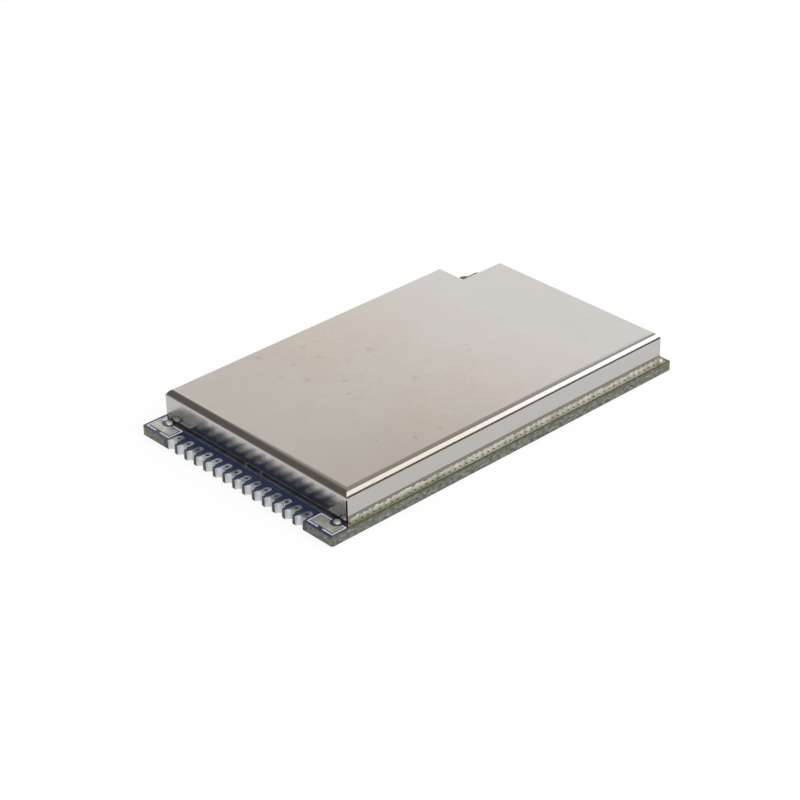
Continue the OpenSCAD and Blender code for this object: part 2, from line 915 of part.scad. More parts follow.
// Metal stripes down a ceramic block's long sides
module side_stripes(at, body) {
    translate([0, 0, board_t])
        at_stripes(at, body)
            translate([-stripe_w / 2, 0])
                cube([stripe_w, lead_t, body.z]);
}

// Directional coupler that parts the sent and received signals
module coupler() {
    color([0.85, 0.84, 0.78])
        ceramic_block(coupler_at, coupler_body);
}

// Metal stripes of the coupler
module coupler_ends() {
    color([0.78, 0.78, 0.76])
        side_stripes(coupler_at, coupler_body);
}

// Filter between the coupler and the antenna socket
module antenna_filter() {
    color([0.7, 0.66, 0.58])
        ceramic_block(filter_at, filter_body);
}

// Metal stripes of the filter
module antenna_filter_ends() {
    color([0.78, 0.78, 0.76])
        side_stripes(filter_at, filter_body);
}

// Ceramic bodies of small chip parts
module chip_bodies(rows) {
    at_chips(rows)
        translate([-chip_w / 2, chip_end_l - chip_l / 2, board_t])
            cube([chip_w, chip_l - 2 * chip_end_l, chip_w]);
}

// Metal ends of small chip parts
module chip_ends(rows) {
    at_chips(rows)
        for (side = [-1, 1])
            translate([-chip_w / 2, side * (chip_l - chip_end_l) / 2 - chip_end_l / 2, board_t])
                cube([chip_w, chip_end_l, chip_w]);
}

// Bodies of the small capacitors
module chip_capacitors() {
    color([0.62, 0.5, 0.36])
        chip_bodies(capacitor_rows);
}

// Ends of the small capacitors
module chip_capacitor_ends() {
    color([0.8, 0.8, 0.78])
        chip_ends(capacitor_rows);
}

// Bodies of the small resistors
module chip_resistors() {
    color([0.1, 0.1, 0.11])
        chip_bodies(resistor_rows);
}

// Ends of the small resistors
module chip_resistor_ends() {
    color([0.8, 0.8, 0.78])
        chip_ends(resistor_rows);
}

// Moulded base of the antenna socket, bored for its pin
module antenna_socket_base() {
    color([0.9, 0.87, 0.78])
        translate([socket_at.x, socket_at.y, board_t])
            difference() {
                translate([-socket_size / 2, -socket_size / 2])
                    cube([socket_size, socket_size, socket_base_h]);
                translate([0, 0, -over])
                    cylinder(r = socket_pin_r, h = socket_base_h + 2 * over);
            }
}

// Ring of the antenna socket with a catch groove, and its two folded ground straps
module antenna_socket_shell() {
    ring_h = socket_h - socket_base_h;
    inner_r = socket_ring_r - socket_ring_t;
    neck_r = socket_ring_r - socket_groove_d;
    groove_top = ring_h - socket_lip_h;
    slope_h = socket_groove_w / 3;
    leg_x = socket_size / 2;
    color([0.83, 0.68, 0.36]) {
        translate([socket_at.x, socket_at.y, board_t + socket_base_h])
            rotate_extrude()
                polygon([
                    [inner_r, 0], [socket_ring_r, 0], [socket_ring_r, groove_top - socket_groove_w],
                    [neck_r, groove_top - 2 * slope_h], [neck_r, groove_top - slope_h],
                    [socket_ring_r, groove_top], [neck_r, ring_h], [inner_r, ring_h]
                ]);
        translate([0, 0, board_t])
            at_straps()
                translate([0, -socket_strap_w / 2]) {
                    translate([socket_ring_r - socket_ring_t / 2, 0, socket_base_h])
                        cube([leg_x + lead_t - socket_ring_r + socket_ring_t / 2, socket_strap_w, lead_t]);
                    translate([leg_x, 0])
                        cube([lead_t, socket_strap_w, socket_base_h + lead_t]);
                    translate([leg_x, 0])
                        cube([lead_t + socket_foot_l, socket_strap_w, lead_t]);
                }
    }
}

// Centre pin of the antenna socket, with a tapered tip
module antenna_socket_pin() {
    shank_h = socket_pin_h - socket_pin_r;
    color([0.85, 0.7, 0.35])
        translate([socket_at.x, socket_at.y, board_t]) {
            cylinder(r = socket_pin_r, h = shank_h);
            translate([0, 0, shank_h])
                cylinder(r1 = socket_pin_r, r2 = socket_pin_r / 2, h = socket_pin_r);
        }
}

laminate();
top_solder_mask();
bottom_solder_mask();
edge_terminals();
corner_lands();
corner_vias();
silkscreen_frames();
ground_frame();
via_plugs();
shield_can();
can_solder();
component_lands();
reader_chip();
reader_chip_leads();
power_amplifier();
power_amplifier_leads();
controller_chip();
controller_chip_leads();
regulator();
regulator_leads();
inductor_core();
inductor_terminals();
bulk_capacitors();
bulk_capacitor_ends();
oscillator_base();
oscillator_lid();
coupler();
coupler_ends();
antenna_filter();
antenna_filter_ends();
chip_capacitors();
chip_capacitor_ends();
chip_resistors();
chip_resistor_ends();
antenna_socket_base();
antenna_socket_shell();
antenna_socket_pin();
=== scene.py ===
"""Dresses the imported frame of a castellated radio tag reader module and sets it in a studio."""

import json
import logging
import math
from collections.abc import Callable, Iterator, Mapping, Sequence
from contextlib import contextmanager
from dataclasses import dataclass
from enum import Enum
from functools import cached_property, partial
from typing import NamedTuple

import bmesh
import bpy
from mathutils import Matrix, Vector, noise


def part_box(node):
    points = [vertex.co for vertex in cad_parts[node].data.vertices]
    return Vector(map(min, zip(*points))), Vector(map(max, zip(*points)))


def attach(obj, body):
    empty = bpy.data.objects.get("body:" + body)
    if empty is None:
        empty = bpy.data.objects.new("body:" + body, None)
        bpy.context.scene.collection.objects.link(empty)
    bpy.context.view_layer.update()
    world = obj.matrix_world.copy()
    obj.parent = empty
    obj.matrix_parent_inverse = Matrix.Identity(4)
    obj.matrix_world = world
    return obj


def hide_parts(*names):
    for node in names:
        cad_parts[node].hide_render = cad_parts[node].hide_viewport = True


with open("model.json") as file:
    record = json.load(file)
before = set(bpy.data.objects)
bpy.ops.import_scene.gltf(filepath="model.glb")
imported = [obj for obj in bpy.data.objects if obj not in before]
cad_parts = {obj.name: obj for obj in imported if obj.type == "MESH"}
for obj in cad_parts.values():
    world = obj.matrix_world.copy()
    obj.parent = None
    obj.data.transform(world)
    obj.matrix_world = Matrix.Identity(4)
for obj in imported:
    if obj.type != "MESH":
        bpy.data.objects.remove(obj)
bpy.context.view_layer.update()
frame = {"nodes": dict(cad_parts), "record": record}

LOG = logging.getLogger("reader_module")
Socket = bpy.types.NodeSocket
MM = 0.001
MERGE = 0.001 * MM
SHARP_DEG = 60.0
IMAGE_PX = 800
PLATE = partial(bpy.ops.mesh.primitive_plane_add, size=1)
BLOCK = partial(bpy.ops.mesh.primitive_cube_add, size=1)
ROD = bpy.ops.mesh.primitive_cylinder_add
BALL = bpy.ops.mesh.primitive_uv_sphere_add


def linear(colour: str) -> tuple[float, float, float, float]:
    """Turns an sRGB hex value into linear light.

    Args:
        colour: Six hex digits after a hash sign.

    Returns:
        Linear red, green and blue, with an alpha of 1.
    """
    shares = [int(colour[i : i + 2], 16) / 255 for i in (1, 3, 5)]
    red, green, blue = [s / 12.92 if s <= 0.04045 else ((s + 0.055) / 1.055) ** 2.4 for s in shares]
    return red, green, blue, 1.0


def per_mm(size: float) -> float:
    """Gives the texture scale at which one cell of a pattern is this many millimetres."""
    return 1 / (size * MM)


class Grade(NamedTuple):
    """A level that runs from low to high while its source runs from start to stop."""

    start: float
    stop: float
    low: float | Socket = 0.0
    high: float | Socket = 1.0

    def of(self, source: Socket) -> dict[str, object]:
        """Gives the inputs of a Map Range node that reads this source."""
        return {"Value": source, **dict(zip(("From Min", "From Max", "To Min", "To Max"), self))}


@dataclass
class Canvas:
    """A node tree that is being drawn on, with the shader and the coordinates that it uses."""

    tree: bpy.types.NodeTree
    shader_name: str = "Principled BSDF"
    coordinates: str = "Object"

    @property
    def shader(self) -> bpy.types.Node:
        """Gives the shader that the patterns lead to."""
        return self.tree.nodes[self.shader_name]

    @cached_property
    def place(self) -> Socket:
        """Gives the coordinates, which are in metres on a piece."""
        return self.add("TexCoord", out=self.coordinates)

    @cached_property
    def axes(self) -> bpy.types.NodeOutputs:
        """Gives the coordinates one by one, by the axis's name."""
        return self.add("SeparateXYZ", {"Vector": self.place}).node.outputs

    @cached_property
    def tilt(self) -> Socket:
        """Gives how far the surface faces up: 1 for a top, 0 for a wall."""
        return self.add("SeparateXYZ", {"Vector": self.add("NewGeometry", out="Normal")}, out="Z")

    def put(self, node: bpy.types.Node, inputs: Mapping[str | int, object]) -> None:
        """Sets or links some of a node's sockets.

        Args:
            node: The node.
            inputs: A value, or another node's output, for each socket that is set.
        """
        for name, value in inputs.items():
            if isinstance(value, Socket):
                self.tree.links.new(value, node.inputs[name])
            else:
                node.inputs[name].default_value = value

    def add(
        self,
        kind: str,
        inputs: Mapping[str | int, object] | None = None,
        stops: Sequence[tuple[float, str]] = (),
        out: str | int = 0,
        **settings: object,
    ) -> Socket:
        """Adds a node, sets it up and links it.

        Args:
            kind: Blender's name for the node, without its prefix.
            inputs: A value, or another node's output, for each socket that is set.
            stops: A colour ramp's places and colours.
            out: The output that is handed on.
            **settings: The node's own settings.

        Returns:
            The new node's output.
        """
        node = self.tree.nodes.new("ShaderNode" + kind)
        for name, value in settings.items():
            setattr(node, name, value)
        for _ in range(len(stops) - 2):
            node.color_ramp.elements.new(1.0)
        for i, (at, colour) in enumerate(stops):
            node.color_ramp.elements[i].position = at
            node.color_ramp.elements[i].color = linear(colour)
        self.put(node, inputs or {})
        return node.outputs[out]


class Axis(Enum):
    """The axes of the shared frame, numbered as in a vector."""

    X = 0
    Y = 1
    Z = 2


@dataclass(frozen=True)
class Zone:
    """Another colour over part of a surface, fading in between two places in millimetres on each axis."""

    colour: str
    share: float
    # an axis, where the zone begins and where it has its full share; all the spans must hold
    spans: tuple[tuple[Axis, float, float], ...]

    def lay(self, on: Canvas, beneath: Socket, origin: Sequence[float] = (0.0, 0.0, 0.0)) -> Socket:
        """Lays the zone over a colour.

        Args:
            on: The material that is drawn.
            beneath: The colour beneath.
            origin: The point that the spans are measured from, in metres.

        Returns:
            The mixed colour.
        """
        share = self.share
        for axis, start, stop in self.spans:
            zero = origin[axis.value]
            fade = Grade(zero + start * MM, zero + stop * MM, 0.0, share)
            share = on.add("MapRange", fade.of(on.axes[axis.name]))
        return on.add("Mix", {0: share, 6: beneath, 7: linear(self.colour)}, out=2, data_type="RGBA")


class Slot(Enum):
    """The record's material slots that new pieces and CAD nodes take their finish from."""

    LAMINATE = "laminate"
    SOLDER_MASK = "solder_mask"
    TERMINAL_PLATING = "terminal_plating"
    TINNED_LAND = "tinned_land"
    TINNED_STRIP = "tinned_strip"
    SILKSCREEN = "silkscreen"
    VIA_FILL = "via_fill"
    CAN_SHEET = "can_sheet"
    SOLDER = "solder"
    BLACK_MOULDING = "black_moulding"
    LEAD_METAL = "lead_metal"
    FERRITE = "ferrite"
    OCHRE_MOULDING = "ochre_moulding"
    GREY_CERAMIC = "grey_ceramic"
    WHITE_CERAMIC = "white_ceramic"
    BROWN_CERAMIC = "brown_ceramic"
    SOCKET_PLASTIC = "socket_plastic"
    SOCKET_GOLD = "socket_gold"


@dataclass(frozen=True)
class Finish:
    """A surface finish: its name, main colour and gloss. Each kind draws its own pattern."""

    name: str
    colour: str
    roughness: float
    metallic: float = 0.0

    def material(self) -> bpy.types.Material:
        """Makes the finish's material.

        Returns:
            A material with the pattern drawn on Object coordinates.
        """
        material = bpy.data.materials.new(self.name)
        material.use_nodes = True
        on = Canvas(material.node_tree)
        plain = {"Base Color": linear(self.colour), "Roughness": self.roughness, "Metallic": self.metallic}
        on.put(on.shader, plain)
        self.draw(on)
        return material

    def draw(self, on: Canvas) -> None:
        """Draws the finish's pattern.

        Args:
            on: The material that is drawn.
        """
        raise NotImplementedError


@dataclass(frozen=True)
class MottledFinish(Finish):
    """A cast, plated, moulded or printed surface: soft patches of a second colour over a fine grit."""

    patch: str = "#808080"
    patch_mm: float = 0.8
    gloss_spread: float = 0.08
    grit_mm: float = 0.3
    grit_h_mm: float = 0.002

    def draw(self, on: Canvas) -> None:
        """Draws patches in the colour and the gloss, and the grit as bump.

        Args:
            on: The material that is drawn.
        """
        soft = {"Vector": on.place, "Scale": per_mm(self.patch_mm), "Detail": 3.0, "Roughness": 0.6}
        patches = on.add("TexNoise", soft)
        tints = [(0.36, self.patch), (0.6, self.colour)]
        tint = on.add("ValToRGB", {"Fac": patches}, tints)
        spread = Grade(0.3, 0.7, self.roughness + self.gloss_spread, self.roughness)
        gloss = on.add("MapRange", spread.of(patches))
        fine = {"Vector": on.place, "Scale": per_mm(self.grit_mm), "Detail": 2.0}
        grit = on.add("TexNoise", fine)
        relief = {"Height": grit, "Distance": self.grit_h_mm * MM, "Strength": 1.0}
        bump = on.add("Bump", relief)
        on.put(on.shader, {"Base Color": tint, "Roughness": gloss, "Normal": bump})


@dataclass(frozen=True)
class PlatedEdgeFinish(MottledFinish):
    """Tin plated over a row of half-holes: mottled on the lands, bright down in the half-holes."""

    bright: Zone = Zone("#DADDDE", 1.0, ((Axis.X, -19.75, -19.95),))

    def draw(self, on: Canvas) -> None:
        """Draws the mottled tin and lays the brighter half-holes over it.

        Args:
            on: The material that is drawn.
        """
        super().draw(on)
        mottled = on.shader.inputs["Base Color"].links[0].from_socket
        on.put(on.shader, {"Base Color": self.bright.lay(on, mottled)})


@dataclass(frozen=True)
class RolledSheetFinish(Finish):
    """Nickel silver, cold rolled and folded: a warm-grey mirror, faintly stained, with drawn walls."""

    pink: str = "#C2B7AE"
    cool: str = "#BFBBB5"
    dull: str = "#A29A92"
    speck: str = "#7C7167"
    pale: Zone = Zone("#CCCAC9", 0.85, ((Axis.X, -6.0, 12.0),))
    left: Zone = Zone("#B7B3AE", 0.9, ((Axis.X, -4.0, -16.0),))
    front: Zone = Zone("#B3AAA1", 0.5, ((Axis.X, 4.0, -12.0), (Axis.Y, -2.0, -10.0)))
    # the walls, and a painted reflection along the near one: a dark line at the wall's foot that stands in
    # for the strip's dark edge mirrored in the wall; both measured from the can's lowest corner
    wall: Zone = Zone("#BAB7B5", 0.85, ((Axis.Z, 2.45, 2.2),))
    flux_and_painted_reflection: Zone = Zone("#7C7868", 0.95, ((Axis.Z, 0.48, 0.56), (Axis.Z, 0.76, 0.68), (Axis.Y, 0.2, 0.1)))
    # smudges by their place along the can: handled most at the castellated end
    handled: Grade = Grade(8.0 * MM, -8.0 * MM, 0.05, 0.26)
    stain_mm: float = 9.0
    grain_mm: float = 0.5
    grain_share: float = 0.2
    speck_mm: float = 2.9
    speck_r_mm: float = 0.4
    speck_core: float = 0.4
    speck_warp_mm: float = 1.1
    wave_mm: float = 11.0
    wave_depth_mm: float = 0.03
    streak_mm: float = 0.2
    streak_l_mm: float = 5.0
    streak_depth_mm: float = 0.008
    smear_mm: float = 2.2
    shine: float = 0.02
    haze: float = 0.05
    wall_blur: float = 0.09

    def draw(self, on: Canvas) -> None:
        """Draws the sheet's stains, a painted reflection line on the near wall, its smeared gloss and its
        relief.

        Args:
            on: The material that is drawn.
        """
        self.stain_and_paint_reflection(on)
        self.smear(on)
        self.press(on)

    def stain_and_paint_reflection(self, on: Canvas) -> None:
        """Draws slow stains, a fine wormy grain, paler and duller parts, soft dark smudges, the walls'
        tone and a painted reflection: a dark line at the near wall's foot.

        Args:
            on: The material that is drawn.
        """
        slow = {"Vector": on.place, "Scale": per_mm(self.stain_mm), "Detail": 3.0}
        stains = on.add("TexNoise", slow)
        tints = [(0.36, self.cool), (0.5, self.colour), (0.64, self.pink)]
        colour = on.add("ValToRGB", {"Fac": stains}, tints)
        wormy = {"Vector": on.place, "Scale": per_mm(self.grain_mm), "Detail": 3.0, "Distortion": 1.2}
        grain = on.add("TexNoise", wormy)
        worn = on.add("MapRange", Grade(0.35, 0.65, 0.0, self.grain_share).of(grain))
        grained = {0: worn, 6: colour, 7: linear(self.dull)}
        colour = on.add("Mix", grained, out=2, data_type="RGBA")
        for zone in (self.pale, self.left, self.front):
            colour = zone.lay(on, colour)
        shift = {0: grain.node.outputs["Color"], 1: [self.speck_warp_mm * MM] * 3, 2: on.place}
        warped = on.add("VectorMath", shift, operation="MULTIPLY_ADD")
        cells = on.add("TexVoronoi", {"Vector": warped, "Scale": per_mm(self.speck_mm)})
        handled = on.add("MapRange", self.handled.of(on.axes["X"]))
        edge = self.speck_r_mm / self.speck_mm
        soft = Grade(self.speck_core * edge, edge, handled, 0.0)
        smudge = on.add("MapRange", soft.of(cells))
        smudged = {0: smudge, 6: colour, 7: linear(self.speck)}
        colour = on.add("Mix", smudged, out=2, data_type="RGBA")
        low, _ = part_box("shield_can")
        # the second zone is painted reflection: the strip's dark edge as it would be mirrored in the near
        # wall
        for zone in (self.wall, self.flux_and_painted_reflection):
            colour = zone.lay(on, colour, low)
        on.put(on.shader, {"Base Color": colour})

    def smear(self, on: Canvas) -> None:
        """Draws the gloss, uneven where the sheet was handled and blurred on the walls.

        Args:
            on: The material that is drawn.
        """
        wiped = {"Vector": on.place, "Scale": per_mm(self.smear_mm), "Detail": 4.0, "Distortion": 0.6}
        smears = on.add("TexNoise", wiped)
        uneven = Grade(0.35, 0.7, self.roughness - self.shine, self.roughness + self.haze)
        gloss = on.add("MapRange", uneven.of(smears))
        blur = on.add("MapRange", Grade(0.02, 0.12, self.wall_blur, 0.0).of(on.tilt))
        on.put(on.shader, {"Roughness": on.add("Math", {0: blur, 1: gloss}, operation="ADD")})

    def press(self, on: Canvas) -> None:
        """Draws the sheet's slow waves, and upright draw marks on its walls, as bump.

        Args:
            on: The material that is drawn.
        """
        waves = on.add("TexNoise", {"Vector": on.place, "Scale": per_mm(self.wave_mm), "Detail": 1.0})
        swell = {"Height": waves, "Distance": self.wave_depth_mm * MM, "Strength": 1.0}
        slow = on.add("Bump", swell)
        upright = {"Vector": on.place, "Scale": (1.0, 1.0, self.streak_mm / self.streak_l_mm)}
        stretched = on.add("Mapping", upright)
        marks = on.add("TexNoise", {"Vector": stretched, "Scale": per_mm(self.streak_mm), "Detail": 2.0})
        on_wall = on.add("MapRange", Grade(0.3, 0.8, 1.0, 0.0).of(on.tilt))
        scored = {"Height": marks, "Distance": self.streak_depth_mm * MM}
        drawn = on.add("Bump", {**scored, "Strength": on_wall, "Normal": slow})
        on.put(on.shader, {"Normal": drawn})


@dataclass(frozen=True)
class MaskFilmFinish(Finish):
    """Liquid photo-imaged epoxy mask: a glossy blue film over glass weave, thin at one corner."""

    deep: str = "#243152"
    thin: Zone = Zone("#6B6B4C", 0.85, ((Axis.X, 19.0, 19.4), (Axis.Y, -7.0, -10.0)))
    weave_mm: float = 0.55
    weave_depth_mm: float = 0.003
    cloud_mm: float = 1.6

    def draw(self, on: Canvas) -> None:
        """Draws thick and thin places in the film's colour, and the weave as bump.

        Args:
            on: The material that is drawn.
        """
        soft = {"Vector": on.place, "Scale": per_mm(self.cloud_mm), "Detail": 3.0}
        clouds = on.add("TexNoise", soft)
        tints = [(0.38, self.deep), (0.62, self.colour)]
        tint = on.add("ValToRGB", {"Fac": clouds}, tints)
        thread = {"Vector": on.place, "Scale": per_mm(self.weave_mm) / math.tau, "Distortion": 0.4}
        warp, weft = (
            on.add("TexWave", thread, out="Fac", wave_type="BANDS", bands_direction=way)
            for way in ("X", "Y")
        )
        weave = on.add("Math", {0: warp, 1: weft}, operation="MAXIMUM")
        relief = {"Height": weave, "Distance": self.weave_depth_mm * MM, "Strength": 1.0}
        bump = on.add("Bump", relief)
        on.put(on.shader, {"Base Color": self.thin.lay(on, tint), "Normal": bump})


@dataclass(frozen=True)
class GlassLaminateFinish(Finish):
    """Glass cloth in epoxy, routed: grey-green edges with cut bundles, and clear resin at two corners."""

    bundle: str = "#B2B3A8"
    resin: str = "#53554C"
    clear: Zone = Zone("#848C4C", 0.8, ((Axis.X, 19.0, 20.1), (Axis.Y, -8.0, -11.5)))
    tan: Zone = Zone("#A3947C", 0.8, ((Axis.Y, 11.5, 12.1), (Axis.X, -17.0, -19.5)))
    # measured from the laminate's top
    skin: Zone = Zone("#626054", 0.8, ((Axis.Z, -0.03, -0.006),))
    # the blue film runs over the edge between the half-holes
    film: Zone = Zone("#343A4A", 0.8, ((Axis.X, -20.0, -20.2), (Axis.Y, 9.3, 9.1), (Axis.Y, -9.3, -9.1)))
    bundle_mm: float = 0.45
    ply_mm: float = 0.2
    relief_mm: float = 0.02

    def draw(self, on: Canvas) -> None:
        """Draws cut glass bundles in flat plies, clearer resin at two corners and the dark skin on top.

        Args:
            on: The material that is drawn.
        """
        # one cell is a bundle of glass, and a ply high
        flat = {"Vector": on.place, "Scale": (1.0, 1.0, self.bundle_mm / self.ply_mm)}
        squeezed = on.add("Mapping", flat)
        cut = {"Vector": squeezed, "Scale": per_mm(self.bundle_mm), "Detail": 4.0, "Roughness": 0.65}
        bundles = on.add("TexNoise", cut)
        tints = [(0.34, self.resin), (0.5, self.colour), (0.66, self.bundle)]
        colour = on.add("ValToRGB", {"Fac": bundles}, tints)
        colour = self.tan.lay(on, self.clear.lay(on, colour))
        colour = self.skin.lay(on, colour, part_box("laminate")[1])
        relief = {"Height": bundles, "Distance": self.relief_mm * MM, "Strength": 1.0}
        bump = on.add("Bump", relief)
        on.put(on.shader, {"Base Color": self.film.lay(on, colour), "Normal": bump})


@dataclass(frozen=True)
class FluxedStripFinish(Finish):
    """Tin reflowed on copper: creamy on the near side, with olive-brown flux from hand soldering."""

    dull: str = "#9C9FA8"
    cream: Zone = Zone("#B8B6A9", 1.0, ((Axis.Y, -10.5, -11.2),))
    flux_and_painted_reflection: Zone = Zone("#6A6444", 0.55, ((Axis.Y, -10.5, -11.2), (Axis.X, -5.0, -9.0)))
    # darker brown along the strip's outer edge
    rim: Zone = Zone("#5C584A", 0.85, ((Axis.Y, -11.98, -12.06),))
    patch_mm: float = 0.7
    relief_mm: float = 0.015

    def draw(self, on: Canvas) -> None:
        """Draws dull patches, the near side's cream and the flux towards the castellated end.

        Args:
            on: The material that is drawn.
        """
        soft = {"Vector": on.place, "Scale": per_mm(self.patch_mm), "Detail": 4.0, "Roughness": 0.65}
        patches = on.add("TexNoise", soft)
        tints = [(0.4, self.dull), (0.6, self.colour)]
        colour = on.add("ValToRGB", {"Fac": patches}, tints)
        for zone in (self.cream, self.flux_and_painted_reflection, self.rim):
            colour = zone.lay(on, colour)
        relief = {"Height": patches, "Distance": self.relief_mm * MM, "Strength": 1.0}
        bump = on.add("Bump", relief)
        on.put(on.shader, {"Base Color": colour, "Normal": bump})


class Finishes:
    """The finishes of the module, each made once and handed to every piece in its slot."""

    def __init__(self) -> None:
        """Makes one material for each slot."""
        self.materials = {slot: finish.material() for slot, finish in FINISHES.items()}

    def dress(self, thing: bpy.types.Object, slot: Slot) -> None:
        """Gives an object the material of a slot.

        Args:
            thing: A new piece or a CAD node.
            slot: The slot whose finish it takes.
        """
        if not thing.material_slots:
            thing.data.materials.append(self.materials[slot])
        for holder in thing.material_slots:
            holder.material = self.materials[slot]


FINISHES: dict[Slot, Finish] = {
    # routed edges of glass cloth and epoxy: matt grey-green with paler cut bundles
    Slot.LAMINATE: GlassLaminateFinish("routed glass-epoxy laminate", "#818379", 0.55),
    # a glossy navy film, nearly black where it is thick
    Slot.SOLDER_MASK: MaskFilmFinish("cured blue epoxy solder mask", "#2C3B5C", 0.22),
    # tin in the half-holes and on their lands, brighter on some than on others
    Slot.TERMINAL_PLATING: PlatedEdgeFinish(
        "plated tin in half-holes", "#CDD0D0", 0.34, 0.6, patch="#7A8188", patch_mm=1.3, grit_h_mm=0.004
    ),
    # hot-air levelled tin: soft-edged, faintly yellow-green where flux dried
    Slot.TINNED_LAND: MottledFinish(
        "hot-air levelled tin", "#CFD2C8", 0.34, 0.5, patch="#B1B6A2", patch_mm=0.9, grit_h_mm=0.006
    ),
    # reflowed tin: cool grey, creamy on the near side, with a film of flux at one end
    Slot.TINNED_STRIP: FluxedStripFinish("reflowed tin strip under flux", "#C6CAD3", 0.24, 0.9),
    # epoxy ink, printed through a mesh: slightly lilac white
    Slot.SILKSCREEN: MottledFinish(
        "screen-printed epoxy ink", "#E3E4F2", 0.5, patch="#C4C6DC", patch_mm=0.3
    ),
    # resin plugs level with the strip: matt and dark; the same finish is painted shade on the dark discs
    # that stand in for the terminal vias' open holes
    Slot.VIA_FILL: MottledFinish("resin via fill and painted via-hole shade", "#2C2920", 0.6, patch="#1D1B17", patch_mm=0.2),
    # rolled sheet: warm grey mirror
    Slot.CAN_SHEET: RolledSheetFinish("rolled nickel silver sheet", "#C0B8B0", 0.1, 1.0),
    # frozen solder: lumpy, a little creamy and half dulled
    Slot.SOLDER: MottledFinish(
        "hand-fed solder", "#E6E3DA", 0.32, 0.65, patch="#C2BEAE", patch_mm=0.5, grit_h_mm=0.006
    ),
    # transfer-moulded epoxy: matt near-black with a fine grain
    Slot.BLACK_MOULDING: MottledFinish(
        "transfer-moulded black epoxy", "#26262A", 0.6, patch="#1E1E20", patch_mm=0.6
    ),
    # plated leads: satin tin
    Slot.LEAD_METAL: MottledFinish(
        "tin plated copper leads", "#CFCFCA", 0.3, 1.0, patch="#B7B7B0", patch_mm=0.4
    ),
    # sintered ferrite: dark grey and finely pitted
    Slot.FERRITE: MottledFinish(
        "sintered ferrite", "#45454A", 0.55, patch="#37373B", patch_mm=0.5, grit_h_mm=0.006
    ),
    # pressed yellow-ochre epoxy round a capacitor
    Slot.OCHRE_MOULDING: MottledFinish(
        "moulded ochre epoxy", "#CB9C45", 0.45, patch="#B98B3A", patch_mm=0.8
    ),
    # fired alumina with a dark glaze
    Slot.GREY_CERAMIC: MottledFinish("fired grey alumina", "#706A62", 0.4, patch="#615C56", patch_mm=0.4),
    # fired white ceramic, faintly cream
    Slot.WHITE_CERAMIC: MottledFinish(
        "fired white ceramic", "#D6D0BE", 0.38, patch="#C6BFAB", patch_mm=0.5
    ),
    # fired tan dielectric
    Slot.BROWN_CERAMIC: MottledFinish(
        "fired tan ceramic", "#A58560", 0.38, patch="#917350", patch_mm=0.3
    ),
    # glass-filled polymer: cream and satin
    Slot.SOCKET_PLASTIC: MottledFinish(
        "moulded liquid crystal polymer", "#E8E0CC", 0.45, patch="#D9CFB8", patch_mm=0.4
    ),
    # flash gold over nickel: pale and warm, slightly dulled by handling
    Slot.SOCKET_GOLD: MottledFinish(
        "gold plated phosphor bronze", "#DDD0A8", 0.3, 0.7, patch="#C2B488", patch_mm=0.35
    ),
}


class Pick(Enum):
    """The kind of mesh element that a selection takes."""

    CORNERS = "VERT"
    EDGES = "EDGE"
    FACES = "FACE"


